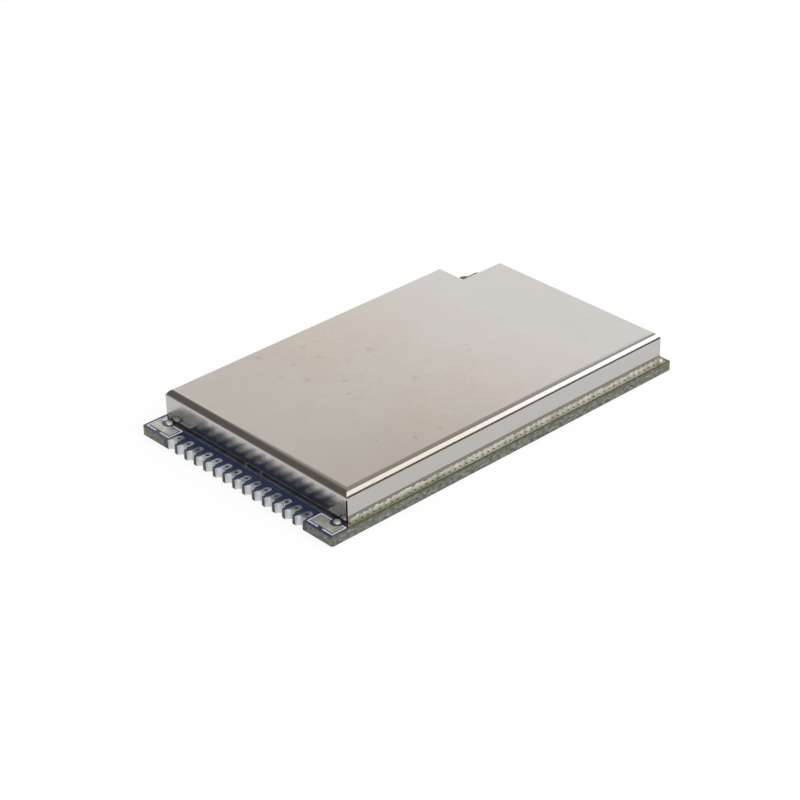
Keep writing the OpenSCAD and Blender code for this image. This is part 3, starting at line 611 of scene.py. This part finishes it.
class Workpiece:
    """One new piece on the bench, shaped by operators from a primitive."""

    def __init__(
        self,
        name: str,
        add: Callable[..., object],
        scale: Sequence[float] = (1, 1, 1),
        **settings: object,
    ) -> None:
        """Adds the primitive that the piece starts from.

        Args:
            name: The piece's name.
            add: The operator that adds the primitive.
            scale: The primitive's stretch along its own axes.
            **settings: The primitive's size and place.
        """
        bpy.ops.object.select_all(action="DESELECT")
        add(**settings)
        self.thing = bpy.context.active_object
        self.thing.scale = scale
        self.thing.name = name
        self.thing.data.name = name
        bpy.ops.object.transform_apply(location=True, rotation=True, scale=True)

    def activate(self) -> None:
        """Selects this piece alone."""
        bpy.ops.object.select_all(action="DESELECT")
        self.thing.select_set(True)
        bpy.context.view_layer.objects.active = self.thing

    @contextmanager
    def editing(self) -> Iterator[None]:
        """Opens the piece in edit mode and closes it again."""
        self.activate()
        bpy.ops.object.mode_set(mode="EDIT")
        yield
        bpy.ops.object.mode_set(mode="OBJECT")

    def pick(self, kind: Pick, test: Callable[[Vector, Vector], bool]) -> int:
        """Selects the elements that pass a test, in edit mode.

        Args:
            kind: The kind of element.
            test: Takes an element's middle and its normal, which is zero for an edge.

        Returns:
            How many elements were selected.
        """
        bpy.ops.mesh.select_mode(type=kind.value)
        bpy.ops.mesh.select_all(action="DESELECT")
        mesh = bmesh.from_edit_mesh(self.thing.data)
        if kind is Pick.CORNERS:
            found = [v for v in mesh.verts if test(v.co, v.normal)]
        elif kind is Pick.EDGES:
            found = [e for e in mesh.edges if test((e.verts[0].co + e.verts[1].co) / 2, Vector())]
        else:
            found = [f for f in mesh.faces if test(f.calc_center_median(), f.normal)]
        for element in found:
            element.select_set(True)
        mesh.select_flush_mode()
        bmesh.update_edit_mesh(self.thing.data)
        return len(found)

    def pick_all(self) -> None:
        """Selects the whole mesh, in edit mode."""
        bpy.ops.mesh.select_all(action="SELECT")

    def modify(self, kind: str, **settings: object) -> None:
        """Adds a modifier and applies it.

        Args:
            kind: Blender's name for the modifier.
            **settings: The modifier's settings.
        """
        self.activate()
        modifier = self.thing.modifiers.new(kind.title(), kind)
        for name, value in settings.items():
            setattr(modifier, name, value)
        bpy.ops.object.modifier_apply(modifier=modifier.name)

    def cut(self, tools: Sequence["Workpiece"]) -> None:
        """Cuts the piece with other pieces, which are used up.

        Args:
            tools: The cutting pieces.
        """
        tool = tools[0].join(tools[1:])
        self.modify("BOOLEAN", operation="DIFFERENCE", solver="EXACT", use_self=True, object=tool.thing)
        bpy.data.objects.remove(tool.thing, do_unlink=True)

    def join(self, others: Sequence["Workpiece"]) -> "Workpiece":
        """Joins other pieces into this one.

        Args:
            others: The pieces that are taken in.

        Returns:
            This piece.
        """
        self.activate()
        for other in others:
            other.thing.select_set(True)
        if others:
            bpy.ops.object.join()
        return self

    def copy(self, shift: Vector) -> "Workpiece":
        """Copies the piece, with a mesh of its own, to another place.

        Args:
            shift: The way from this piece to its copy.

        Returns:
            The copy.
        """
        self.activate()
        bpy.ops.object.duplicate(linked=False)
        twin = object.__new__(Workpiece)
        twin.thing = bpy.context.active_object
        twin.thing.location = shift
        bpy.ops.object.transform_apply(location=True, rotation=True, scale=True)
        return twin

    def row(self, step: float, count: int) -> "Workpiece":
        """Copies the piece along the board's castellated edge.

        Args:
            step: The way from one to the next.
            count: How many there are in all.

        Returns:
            This piece, with its copies.
        """
        return self.join([self.copy(Vector((0, i * step, 0))) for i in range(1, count)])

    def lift(self, height: float) -> None:
        """Extrudes the flat piece upwards, in edit mode."""
        self.pick_all()
        bpy.ops.mesh.extrude_region_move(TRANSFORM_OT_translate={"value": (0, 0, height)})

    def seat(self, level: float) -> None:
        """Cuts off what lies under a level and closes the cut, in edit mode."""
        self.pick_all()
        bpy.ops.mesh.bisect(
            plane_co=(0, 0, level), plane_no=(0, 0, 1), use_fill=True, clear_inner=True, threshold=MERGE
        )

    def round_edges(self, width: float, steps: int) -> None:
        """Rounds the piece's sharp edges to this width."""
        sharp = math.radians(SHARP_DEG)
        self.modify("BEVEL", width=width, segments=steps, limit_method="ANGLE", angle_limit=sharp)

    def smooth(self, angle: float = SHARP_DEG) -> None:
        """Shades the piece smooth, apart from edges sharper than an angle in degrees."""
        self.activate()
        bpy.ops.object.shade_smooth_by_angle(angle=math.radians(angle))

    def face_outwards(self, merge: float = MERGE) -> None:
        """Merges corners that lie this close together and turns every face outwards."""
        with self.editing():
            self.pick_all()
            bpy.ops.mesh.remove_doubles(threshold=merge)
            bpy.ops.mesh.normals_make_consistent(inside=False)

    def hand_over(self, finishes: Finishes, slot: Slot, stands_for: Sequence[str] = ()) -> None:
        """Dresses the finished piece and ties it to the frame.

        Args:
            finishes: The module's finishes.
            slot: The slot whose finish it takes.
            stands_for: The CAD nodes that it replaces.
        """
        finishes.dress(self.thing, slot)
        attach(self.thing, "root")
        if stands_for:
            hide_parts(*stands_for)
        LOG.info("%s: %d faces", self.thing.name, len(self.thing.data.polygons))


@dataclass
class Board:
    """The castellated board: its tinned terminals and corner lands, in metres."""

    pitch: float = 1.27 * MM
    count: int = 14
    land_w: float = 0.95 * MM
    land_l: float = 1.35 * MM
    half_hole_r: float = 0.45 * MM
    via_r: float = 0.15 * MM
    # thickness of the dark discs in the terminal vias, which are painted shade for the open holes
    shade_disc_t: float = 0.06 * MM
    tin_h: float = 0.035 * MM
    dam_t: float = 0.02 * MM
    dam_lap: float = 0.13 * MM
    dam_start: float = 0.3 * MM
    rim: float = 0.03 * MM
    tin_edge: float = 0.012 * MM
    dam_edge: float = 0.008 * MM
    corner_edge: float = 0.042 * MM
    tin_round: float = 0.42
    corner_tin_h: float = 0.056 * MM
    drill_l: float = 0.35 * MM
    dish_rim: float = 0.0525 * MM
    dish_depth: float = 0.024 * MM
    frame_inset: float = 0.25 * MM
    frame_w: float = 1.58 * MM
    frame_l: float = 3.07 * MM
    line: float = 0.25 * MM
    round_at: tuple[float, float] = (-18.42 * MM, -10.85 * MM)
    round_r: float = 0.34 * MM
    round_gap: float = 0.26 * MM
    dome_flat: float = 0.62
    dome_top: float = 0.45
    dome_slump: tuple[float, float, float] = (0.03 * MM, 0.02 * MM, -0.05 * MM)

    def __post_init__(self) -> None:
        """Takes the board's edges and face from the frame."""
        low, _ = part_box("laminate")
        self.edge_x, self.near_y = low.x, low.y
        self.face_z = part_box("top_solder_mask")[1].z
        self.first_y = -(self.count - 1) * self.pitch / 2
        self.via_x = self.edge_x + self.land_l - self.land_w / 2

    def terminal_tin(self) -> Workpiece:
        """Models the raised tin on one land and copies it along the edge.

        Returns:
            The tin of all the terminals.
        """
        tin_w = self.land_w - 2 * self.dam_lap
        inner_x = self.edge_x + self.land_l / 2
        tin = Workpiece(
            "terminal_tin",
            PLATE,
            location=(inner_x, self.first_y, self.face_z),
            scale=(self.land_l - self.rim, tin_w - self.rim, 1),
        )
        with tin.editing():
            tin.pick(Pick.CORNERS, lambda at, _: at.x > inner_x)
            bpy.ops.mesh.bevel(offset=self.tin_round * tin_w, segments=8, affect="VERTICES")
            tin.lift(self.tin_h)
        tools = [
            Workpiece(
                "drill",
                ROD,
                vertices=32,
                radius=radius + self.rim / 2,
                depth=self.drill_l,
                location=(x, self.first_y, self.face_z),
            )
            for x, radius in ((self.edge_x, self.half_hole_r), (self.via_x, self.via_r))
        ]
        tin.cut(tools)
        tin.face_outwards(self.rim / 2)
        tin.round_edges(self.tin_edge, steps=3)
        tin.smooth()
        return tin.row(self.pitch, self.count)

    def mask_dams(self) -> Workpiece:
        """Models the film's dam between two lands, which laps over both, and copies it along the edge.

        Returns:
            The dams between all the lands.
        """
        edge_x = self.edge_x + self.dam_start
        dam = Workpiece(
            "mask_dams",
            PLATE,
            location=(
                self.edge_x + (self.dam_start + self.land_l) / 2,
                self.first_y + self.pitch / 2,
                self.face_z,
            ),
            scale=(self.land_l - self.dam_start, self.pitch - self.land_w + 2 * self.dam_lap, 1),
        )
        with dam.editing():
            dam.pick(Pick.CORNERS, lambda at, _: at.x < edge_x + self.rim)
            bpy.ops.mesh.bevel(offset=self.dam_lap, segments=6, affect="VERTICES")
            dam.lift(self.dam_t)
        dam.face_outwards()
        dam.round_edges(self.dam_edge, steps=2)
        dam.smooth()
        return dam.row(self.pitch, self.count - 1)

    def via_plugs(self) -> Workpiece:
        """Models a dark, slightly sunken disc in one land's via, painted shade standing in for the dark
        inside of the open hole, and copies it along the edge.

        Returns:
            The painted-shade discs of all the lands.
        """
        shade_disc = Workpiece(
            "terminal_via_painted_shade",
            ROD,
            vertices=24,
            radius=self.via_r,
            depth=self.shade_disc_t,
            location=(self.via_x, self.first_y, self.face_z - self.shade_disc_t / 2),
        )
        with shade_disc.editing():
            shade_disc.pick(Pick.FACES, lambda _, normal: normal.z > 0.9)
            bpy.ops.mesh.inset(thickness=self.dish_rim)
            bpy.ops.transform.translate(value=(0, 0, -self.dish_depth))
        shade_disc.face_outwards()
        shade_disc.smooth(50)
        return shade_disc.row(self.pitch, self.count)

    def corner_tin(self) -> Workpiece:
        """Models the raised tin on one corner land and mirrors it to the other corner.

        Returns:
            The tin of both corner lands.
        """
        margin = self.frame_inset + self.line
        x0, y0 = self.edge_x + margin, self.near_y + margin
        x1 = self.edge_x + self.frame_inset + self.frame_w - self.line
        y1 = self.near_y + self.frame_inset + self.frame_l - self.line
        tin = Workpiece(
            "corner_tin",
            PLATE,
            location=((x0 + x1) / 2, (y0 + y1) / 2, self.face_z),
            scale=(x1 - x0, y1 - y0, 1),
        )
        with tin.editing():
            tin.lift(self.corner_tin_h)
        bite = Workpiece(
            "bite",
            ROD,
            vertices=48,
            radius=self.round_r + self.round_gap + self.rim,
            depth=self.drill_l,
            location=(*self.round_at, self.face_z),
        )
        tin.cut([bite])
        tin.face_outwards()
        tin.round_edges(self.corner_edge, steps=4)
        tin.face_outwards()
        other = tin.copy(Vector())
        with other.editing():
            other.pick_all()
            bpy.ops.transform.resize(value=(1, -1, 1), center_override=(0, 0, 0))
        other.face_outwards()
        tin.join([other])
        tin.smooth()
        return tin

    def round_tin(self) -> Workpiece:
        """Models the domed solder on one round land and copies it to the other corner.

        Returns:
            Both domes.
        """
        x, y = self.round_at
        dome = Workpiece(
            "round_land_domes",
            BALL,
            segments=32,
            ring_count=21,
            radius=self.round_r,
            location=(x, y, self.face_z),
            scale=(1, 1, self.dome_flat),
        )
        with dome.editing():
            dome.seat(self.face_z)
            dome.pick(Pick.CORNERS, lambda at, _: at.z > self.face_z + self.dome_top * self.round_r)
            bpy.ops.transform.translate(value=self.dome_slump)
        dome.face_outwards()
        dome.smooth(50)
        return dome.join([dome.copy(Vector((0, -2 * y, 0)))])

    def build(self, finishes: Finishes) -> None:
        """Builds the tin on the board's lands and the film between them.

        Args:
            finishes: The module's finishes.
        """
        self.terminal_tin().hand_over(finishes, Slot.TERMINAL_PLATING)
        self.mask_dams().hand_over(finishes, Slot.SOLDER_MASK)
        # dark discs in the lands' vias: painted shade for the dark inside of the open holes
        self.via_plugs().hand_over(finishes, Slot.VIA_FILL)
        self.corner_tin().hand_over(finishes, Slot.TINNED_LAND)
        self.round_tin().hand_over(finishes, Slot.SOLDER)


@dataclass
class ShieldCan:
    """The folded can: one sheet with rounded bends, open corner seams, a notched corner and two feet."""

    sheet: float = 0.18 * MM
    bend: float = 0.7 * MM
    bend_steps: int = 14
    notch_l: float = 4.8 * MM
    notch_w: float = 3.1 * MM
    seam: float = 0.12 * MM
    relief_r: float = 0.3 * MM
    foot_gap: float = 0.22 * MM
    foot_w: float = 0.3 * MM
    foot_spacing: float = 1.95 * MM
    spare: float = 1.0 * MM
    reach: float = 0.01 * MM
    saw_sheets: int = 6
    punch_sheets: int = 4

    def __post_init__(self) -> None:
        """Takes the can's walls and top from the frame."""
        self.low, self.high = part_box("shield_can")
        self.notch_x = self.high.x - self.notch_l
        self.notch_y = self.high.y - self.notch_w

    def blank(self) -> Workpiece:
        """Models the outside of the can as a thin skin with rounded bends.

        Returns:
            The open skin, its faces outwards.
        """
        low, high = self.low, self.high
        middle = (low + high) / 2
        can = Workpiece(
            "can_sheet",
            PLATE,
            location=(middle.x, middle.y, low.z),
            scale=(high.x - low.x, high.y - low.y, 1),
        )
        with can.editing():
            for at, normal in (((self.notch_x, 0, 0), (1, 0, 0)), ((0, self.notch_y, 0), (0, 1, 0))):
                can.pick_all()
                bpy.ops.mesh.bisect(plane_co=at, plane_no=normal)
            can.pick(Pick.FACES, lambda at, _: at.x > self.notch_x and at.y > self.notch_y)
            bpy.ops.mesh.delete(type="FACE")
            can.pick_all()
            bpy.ops.mesh.dissolve_limited(angle_limit=math.radians(1))
            can.lift(high.z - low.z)
            can.pick(Pick.FACES, lambda at, _: at.z < low.z + self.reach)
            bpy.ops.mesh.delete(type="FACE")
            can.pick_all()
            bpy.ops.mesh.normals_make_consistent(inside=False)
            can.pick(Pick.EDGES, lambda at, _: at.z > high.z - self.reach)
            bpy.ops.mesh.bevel(offset=self.bend, segments=self.bend_steps, profile=0.5, affect="EDGES")
        return can

    def tools(self) -> list[Workpiece]:
        """Makes the tools that cut the seams, the relief hole and the gap between the feet.

        Returns:
            The cutting pieces.
        """
        low, high = self.low, self.high
        bend_z = high.z - self.bend
        seams = [
            (low.x, low.y, 45),
            (low.x, high.y, -45),
            (high.x, low.y, -45),
            (high.x, self.notch_y, 45),
            (self.notch_x, high.y, 45),
            (self.notch_x, self.notch_y, 45),
        ]
        bottom = low.z - self.spare
        made = [
            Workpiece(
                "seam_saw",
                BLOCK,
                location=(x, y, (bottom + bend_z) / 2),
                rotation=(0, 0, math.radians(turn)),
                scale=(self.saw_sheets * self.sheet, self.seam, bend_z - bottom),
            )
            for x, y, turn in seams
        ]
        drill_l = self.relief_r + self.bend + self.spare
        made.append(
            Workpiece(
                "relief_drill",
                ROD,
                vertices=48,
                radius=self.relief_r,
                depth=drill_l,
                location=(
                    self.notch_x - self.relief_r / 2,
                    self.notch_y - self.relief_r / 2,
                    bend_z - self.relief_r + drill_l / 2,
                ),
            )
        )
        outer, inner = (self.foot_spacing + self.foot_w) / 2, (self.foot_spacing - self.foot_w) / 2
        edges = [low.y + self.sheet, -outer, -inner, inner, outer, high.y - self.sheet]
        top = low.z + self.foot_gap
        made += [
            Workpiece(
                "foot_punch",
                BLOCK,
                location=(low.x, (start + stop) / 2, (bottom + top) / 2),
                scale=(self.punch_sheets * self.sheet, stop - start, top - bottom),
            )
            for start, stop in zip(edges[::2], edges[1::2])
        ]
        return made

    def build(self, finishes: Finishes) -> None:
        """Folds the can, cuts it and gives it its finish.

        Args:
            finishes: The module's finishes.
        """
        can = self.blank()
        can.modify("SOLIDIFY", thickness=self.sheet, offset=-1, use_even_offset=True)
        can.cut(self.tools())
        can.smooth(30)
        can.modify("WEIGHTED_NORMAL", weight=100, keep_sharp=True)
        can.hand_over(finishes, Slot.CAN_SHEET, ["shield_can"])


@dataclass
class CanSolder:
    """Solder along the can's foot: necked at the near side's vias, with hand-fed lumps at one end."""

    leg: float = 0.055 * MM
    climb: float = 7.0
    lump_leg: float = 0.068 * MM
    lump_end: float = 12.5 * MM
    pitch: float = 0.65 * MM
    steps_a_pitch: int = 6
    neck: float = 0.8
    bend: float = ShieldCan.bend
    notch_l: float = ShieldCan.notch_l
    notch_w: float = ShieldCan.notch_w
    fillet: float = 0.8
    fillet_profile: float = 0.32
    wobble_l: float = 0.9 * MM
    wobble_seed: tuple[float, float] = (3.7, 0.5)
    near_wobble: float = 0.2
    plain_wobble: float = 0.15
    lump_l: float = 0.55 * MM
    lump_seed: tuple[float, float] = (8.1, 2.2)
    lump_gain: float = 1.8
    lump_hold: float = 3.0
    blob_r: float = 0.3 * MM
    blob_shift: tuple[float, float, float] = (-0.12 * MM, -0.1 * MM, 0.1 * MM)
    blob_scale: tuple[float, float, float] = (1.0, 0.85, 0.9)
    blob_foot_h: float = 0.05 * MM
    blob_foot: float = 1.15

    def __post_init__(self) -> None:
        """Takes the can's walls and the row of vias from the frame."""
        self.low, self.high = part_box("shield_can")
        self.first_via, self.last_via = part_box("via_plugs")

    def wobble(self, at: float) -> float:
        """Gives a slow, repeatable unevenness, from -1 to 1, at a distance along a bead."""
        return noise.noise(Vector((at / self.wobble_l, *self.wobble_seed)))

    def near_stations(self, length: float) -> list[tuple[float, float]]:
        """Lays out the near bead's sections: a swelling between each two vias, and lumps at the start.

        Args:
            length: The bead's length.

        Returns:
            Pairs of distance along the bead and leg of its section.
        """
        found = []
        for i in range(round(length / self.pitch * self.steps_a_pitch) + 1):
            at = i * self.pitch / self.steps_a_pitch
            swell = 0.5 - 0.5 * math.cos(math.tau * at / self.pitch)
            wobble = self.wobble(at)
            leg = self.leg * (self.neck + (1 - self.neck) * swell) * (1 + self.near_wobble * wobble)
            fed = min(1.0, self.lump_hold * max(0.0, 1 - at / self.lump_end))
            lump = noise.noise(Vector((at / self.lump_l, *self.lump_seed))) + 0.5 * wobble
            leg += (self.lump_leg - self.leg) * max(0.0, lump) * self.lump_gain * fed
            found.append((at, leg))
        return found

    def plain_stations(self, length: float) -> list[tuple[float, float]]:
        """Lays out a plain bead's sections.

        Args:
            length: The bead's length.

        Returns:
            Pairs of distance along the bead and leg of its section.
        """
        count = round(length / self.pitch)
        places = [length * i / count for i in range(count + 1)]
        return [(at, self.leg * (1 + self.plain_wobble * self.wobble(at))) for at in places]

    def bead(
        self, name: str, start: Vector, out: Vector, stations: Sequence[tuple[float, float]]
    ) -> Workpiece:
        """Draws a bead along a wall's foot, section by section.

        Args:
            name: The piece's name.
            start: The foot of the wall where the bead begins.
            out: The way out of the wall.
            stations: Pairs of distance along the bead and leg of its section.

        Returns:
            The closed bead.
        """
        up = Vector((0, 0, 1))
        along = -out.cross(up)
        turn = Matrix((out, up, -along)).transposed().to_euler()
        leg = stations[0][1]
        bead = Workpiece(
            name,
            PLATE,
            size=leg,
            location=start + (out + up) * leg / 2,
            rotation=turn,
        )
        edge = start + (out + up) * leg
        with bead.editing():
            bead.pick(Pick.CORNERS, lambda at, _: (at - edge).length < 0.1 * leg)
            rounding = {"offset": self.fillet * leg, "profile": self.fillet_profile}
            bpy.ops.mesh.bevel(segments=5, affect="VERTICES", **rounding)
            bead.pick_all()
            bpy.ops.mesh.select_mode(type="FACE")
            before, size = 0.0, leg
            for distance, wanted in stations[1:]:
                step = along * (distance - before)
                bpy.ops.mesh.extrude_region_move(TRANSFORM_OT_translate={"value": step})
                grow = wanted / size
                scale = [1 + (grow - 1) * (1 - abs(a)) for a in along]
                bpy.ops.transform.resize(value=scale, center_override=start + along * distance)
                before, size = distance, wanted
        bead.face_outwards()
        bead.smooth(70)
        return bead

    def blob(self) -> Workpiece:
        """Models the round blob at the can's corner on the near long side.

        Returns:
            The blob, flat underneath.
        """
        foot = Vector((self.high.x, self.low.y, self.low.z))
        at = foot + Vector(self.blob_shift)
        blob = Workpiece(
            "corner_blob",
            BALL,
            segments=28,
            ring_count=18,
            radius=self.blob_r,
            location=at,
            scale=self.blob_scale,
        )
        with blob.editing():
            blob.seat(foot.z)
            blob.pick(Pick.CORNERS, lambda point, _: point.z < foot.z + self.blob_foot_h)
            spread = (self.blob_foot, self.blob_foot, 1)
            bpy.ops.transform.resize(value=spread, center_override=(at.x, at.y, foot.z))
        blob.face_outwards()
        blob.smooth()
        return blob

    def build(self, finishes: Finishes) -> None:
        """Lays the beads along three walls and sets the blob.

        Args:
            finishes: The module's finishes.
        """
        low, high = self.low, self.high
        via_r = (self.last_via.y - self.first_via.y) / 2
        near_x = self.first_via.x + via_r
        near_l = self.last_via.x - via_r - near_x
        far_l = high.x - low.x - self.notch_l - 2 * self.bend
        end_l = high.y - low.y - self.notch_w - 2 * self.bend
        near_foot = Vector((near_x, low.y, low.z))
        near = self.bead("can_solder_beads", near_foot, Vector((0, -1, 0)), self.near_stations(near_l))
        # the solder climbs the near wall further than it spreads on the strip
        with near.editing():
            near.pick_all()
            bpy.ops.transform.resize(value=(1, 1, self.climb), center_override=near_foot)
        far = self.bead(
            "far_bead",
            Vector((high.x - self.notch_l - self.bend, high.y, low.z)),
            Vector((0, 1, 0)),
            self.plain_stations(far_l),
        )
        end = self.bead(
            "end_bead",
            Vector((high.x, low.y + self.bend, low.z)),
            Vector((1, 0, 0)),
            self.plain_stations(end_l),
        )
        near.join([far, end])
        near.hand_over(finishes, Slot.SOLDER, ["can_solder"])
        self.blob().hand_over(finishes, Slot.SOLDER)


@dataclass
class CadNodes:
    """The nodes whose CAD shape stays and which only get their finish."""

    def dress(self, finishes: Finishes) -> None:
        """Gives every CAD node the finish of its slot in the record.

        Args:
            finishes: The module's finishes.
        """
        for row in frame["record"]["subparts"]:
            finishes.dress(frame["nodes"][row["node"]], Slot(row["material_slot"]))
            LOG.info("%s: %s", row["node"], row["material_slot"])


@dataclass(frozen=True)
class SoftBox:
    """A rectangular lamp, placed and sized in metres, that faces the module or lies along its length."""

    name: str
    place: tuple[float, float, float]
    width: float
    tall: float
    radiance: float
    along: bool = False

    def build(self) -> None:
        """Hangs the lamp and turns it to the module."""
        lamp = bpy.data.lights.new(self.name, "AREA")
        lamp.shape = "RECTANGLE"
        lamp.size, lamp.size_y = self.width, self.tall
        lamp.energy = self.radiance * math.pi * self.width * self.tall
        holder = bpy.data.objects.new(self.name, lamp)
        holder.location = self.place
        way = Vector((0.0 if self.along else self.place[0], *self.place[1:]))
        holder.rotation_euler = way.to_track_quat("Z", "Y").to_euler()
        holder.visible_camera = False
        bpy.context.collection.objects.link(holder)


@dataclass
class Studio:
    """The pale floor, the soft lamps, the graded room and the camera."""

    azimuth: float = -42.45
    elevation: float = 30.403
    roll: float = -1.201
    target: tuple[float, float, float] = (-0.611 * MM, 0.865 * MM, 0.0)
    distance: float = 208.71 * MM
    focal_px: float = 2376.0
    sensor_mm: float = 36.0
    clip: tuple[float, float] = (0.01, 50.0)
    floor_size: float = 8.0
    floor_grey: str = "#8C8C8C"
    floor_roughness: float = 0.9
    room_white: str = "#FFFDFA"
    floor_glow: float = 0.78
    floor_drop: float = 0.02 * MM
    # the room's levels by height
    backdrop: Grade = Grade(0.5, 0.7, 1.05, 0.52)
    left: Grade = Grade(0.0, 0.2, 0.36, 0.18)
    right: Grade = Grade(0.1, 0.35, 0.12, 0.42)
    front_level: float = 0.25
    # where each part of the room begins, towards the right or the back
    backdrop_from: Grade = Grade(-0.8, -0.3)
    right_from: Grade = Grade(0.5, 0.75)
    front_from: Grade = Grade(-0.35, -0.7)

    def camera(self) -> None:
        """Sets the camera at the photo's viewing angle."""
        az, el, roll = (math.radians(a) for a in (self.azimuth, self.elevation, self.roll))
        back = Vector((math.sin(az) * math.cos(el), -math.cos(az) * math.cos(el), math.sin(el)))
        right = (-back).cross(Vector((0, 0, 1))).normalized()
        up = right.cross(-back)
        right, up = (
            math.cos(roll) * right + math.sin(roll) * up,
            -math.sin(roll) * right + math.cos(roll) * up,
        )
        data = bpy.data.cameras.new("photo_camera")
        data.sensor_width = self.sensor_mm
        data.lens = self.focal_px * self.sensor_mm / IMAGE_PX
        data.clip_start, data.clip_end = self.clip
        camera = bpy.data.objects.new("photo_camera", data)
        camera.matrix_world = Matrix.Translation(Vector(self.target) + back * self.distance) @ Matrix(
            (right, up, back)
        ).transposed().to_4x4()
        bpy.context.collection.objects.link(camera)
        bpy.context.scene.camera = camera

    def floor(self) -> None:
        """Lays the pale floor, which shows white and keeps the module's shadow."""
        bpy.ops.object.select_all(action="DESELECT")
        bpy.ops.mesh.primitive_plane_add(size=self.floor_size, location=(0, 0, -self.floor_drop))
        floor = bpy.context.active_object
        floor.name = "studio_floor"
        material = bpy.data.materials.new("matt paper floor")
        material.use_nodes = True
        on = Canvas(material.node_tree)
        path = on.add("LightPath").node.outputs
        seen = path["Is Camera Ray"]
        for other in ("Is Glossy Ray", "Is Transmission Ray"):
            seen = on.add("Math", {0: seen, 1: path[other]}, operation="MAXIMUM")
        glow = on.add("Math", {0: seen, 1: self.floor_glow}, operation="MULTIPLY")
        matt = {"Base Color": linear(self.floor_grey), "Roughness": self.floor_roughness}
        on.put(on.shader, {**matt, "Specular IOR Level": 0.0})
        on.put(on.shader, {"Emission Color": linear("#FFFFFF"), "Emission Strength": glow})
        # clear from beneath, so that the underside can be looked at
        clear = on.add("BsdfTransparent")
        beneath = on.add("NewGeometry", out="Backfacing")
        sheet = on.add("MixShader", {0: beneath, 1: on.shader.outputs["BSDF"], 2: clear})
        on.put(on.tree.nodes["Material Output"], {"Surface": sheet})
        floor.data.materials.append(material)

    def room(self) -> None:
        """Grades the room: a white backdrop, dimmer upwards, a dark left, a grey right and a dim front."""
        world = bpy.data.worlds.new("studio_room")
        world.use_nodes = True
        bpy.context.scene.world = world
        on = Canvas(world.node_tree, "Background", "Generated")
        level, backdrop, right = (
            on.add("MapRange", rise.of(on.axes["Z"]))
            for rise in (self.left, self.backdrop, self.right)
        )
        turn = math.radians(self.azimuth)
        rightwards = (math.cos(turn), math.sin(turn), 0.0)
        backwards = (-math.sin(turn), math.cos(turn), 0.0)
        side, depth = (
            on.add("VectorMath", {0: on.place, 1: way}, operation="DOT_PRODUCT", out="Value")
            for way in (rightwards, backwards)
        )
        for along, fade, other in (
            (side, self.backdrop_from, backdrop),
            (side, self.right_from, right),
            (depth, self.front_from, self.front_level),
        ):
            share = on.add("MapRange", fade.of(along), interpolation_type="SMOOTHSTEP")
            level = on.add("Mix", {0: share, 2: level, 3: other}, data_type="FLOAT")
        on.put(on.shader, {"Color": linear(self.room_white), "Strength": level})

    def build(self) -> None:
        """Sets up the whole studio."""
        self.camera()
        self.floor()
        self.room()
        for lamp in LAMPS:
            lamp.build()
        bpy.context.scene.view_settings.view_transform = "Standard"
        LOG.info("studio: %d lamps", len(LAMPS))


LAMPS: tuple[SoftBox, ...] = (
    # near the camera and high: lights the mask, the ink and both routed edges
    SoftBox("key_box", (-0.485, -0.6, 0.92), 2.0, 2.0, 1.0),
    # on the right, level with the long edge: the white line along the long bend
    SoftBox("edge_box", (0.95, -0.952, 0.731), 1.1, 0.86, 1.45, along=True),
)


def main() -> None:
    """Dresses the nodes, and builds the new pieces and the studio."""
    logging.basicConfig(level=logging.INFO, format="%(message)s")
    finishes = Finishes()
    CadNodes().dress(finishes)
    ShieldCan().build(finishes)
    CanSolder().build(finishes)
    Board().build(finishes)
    Studio().build()


if __name__ == "__main__":
    main()
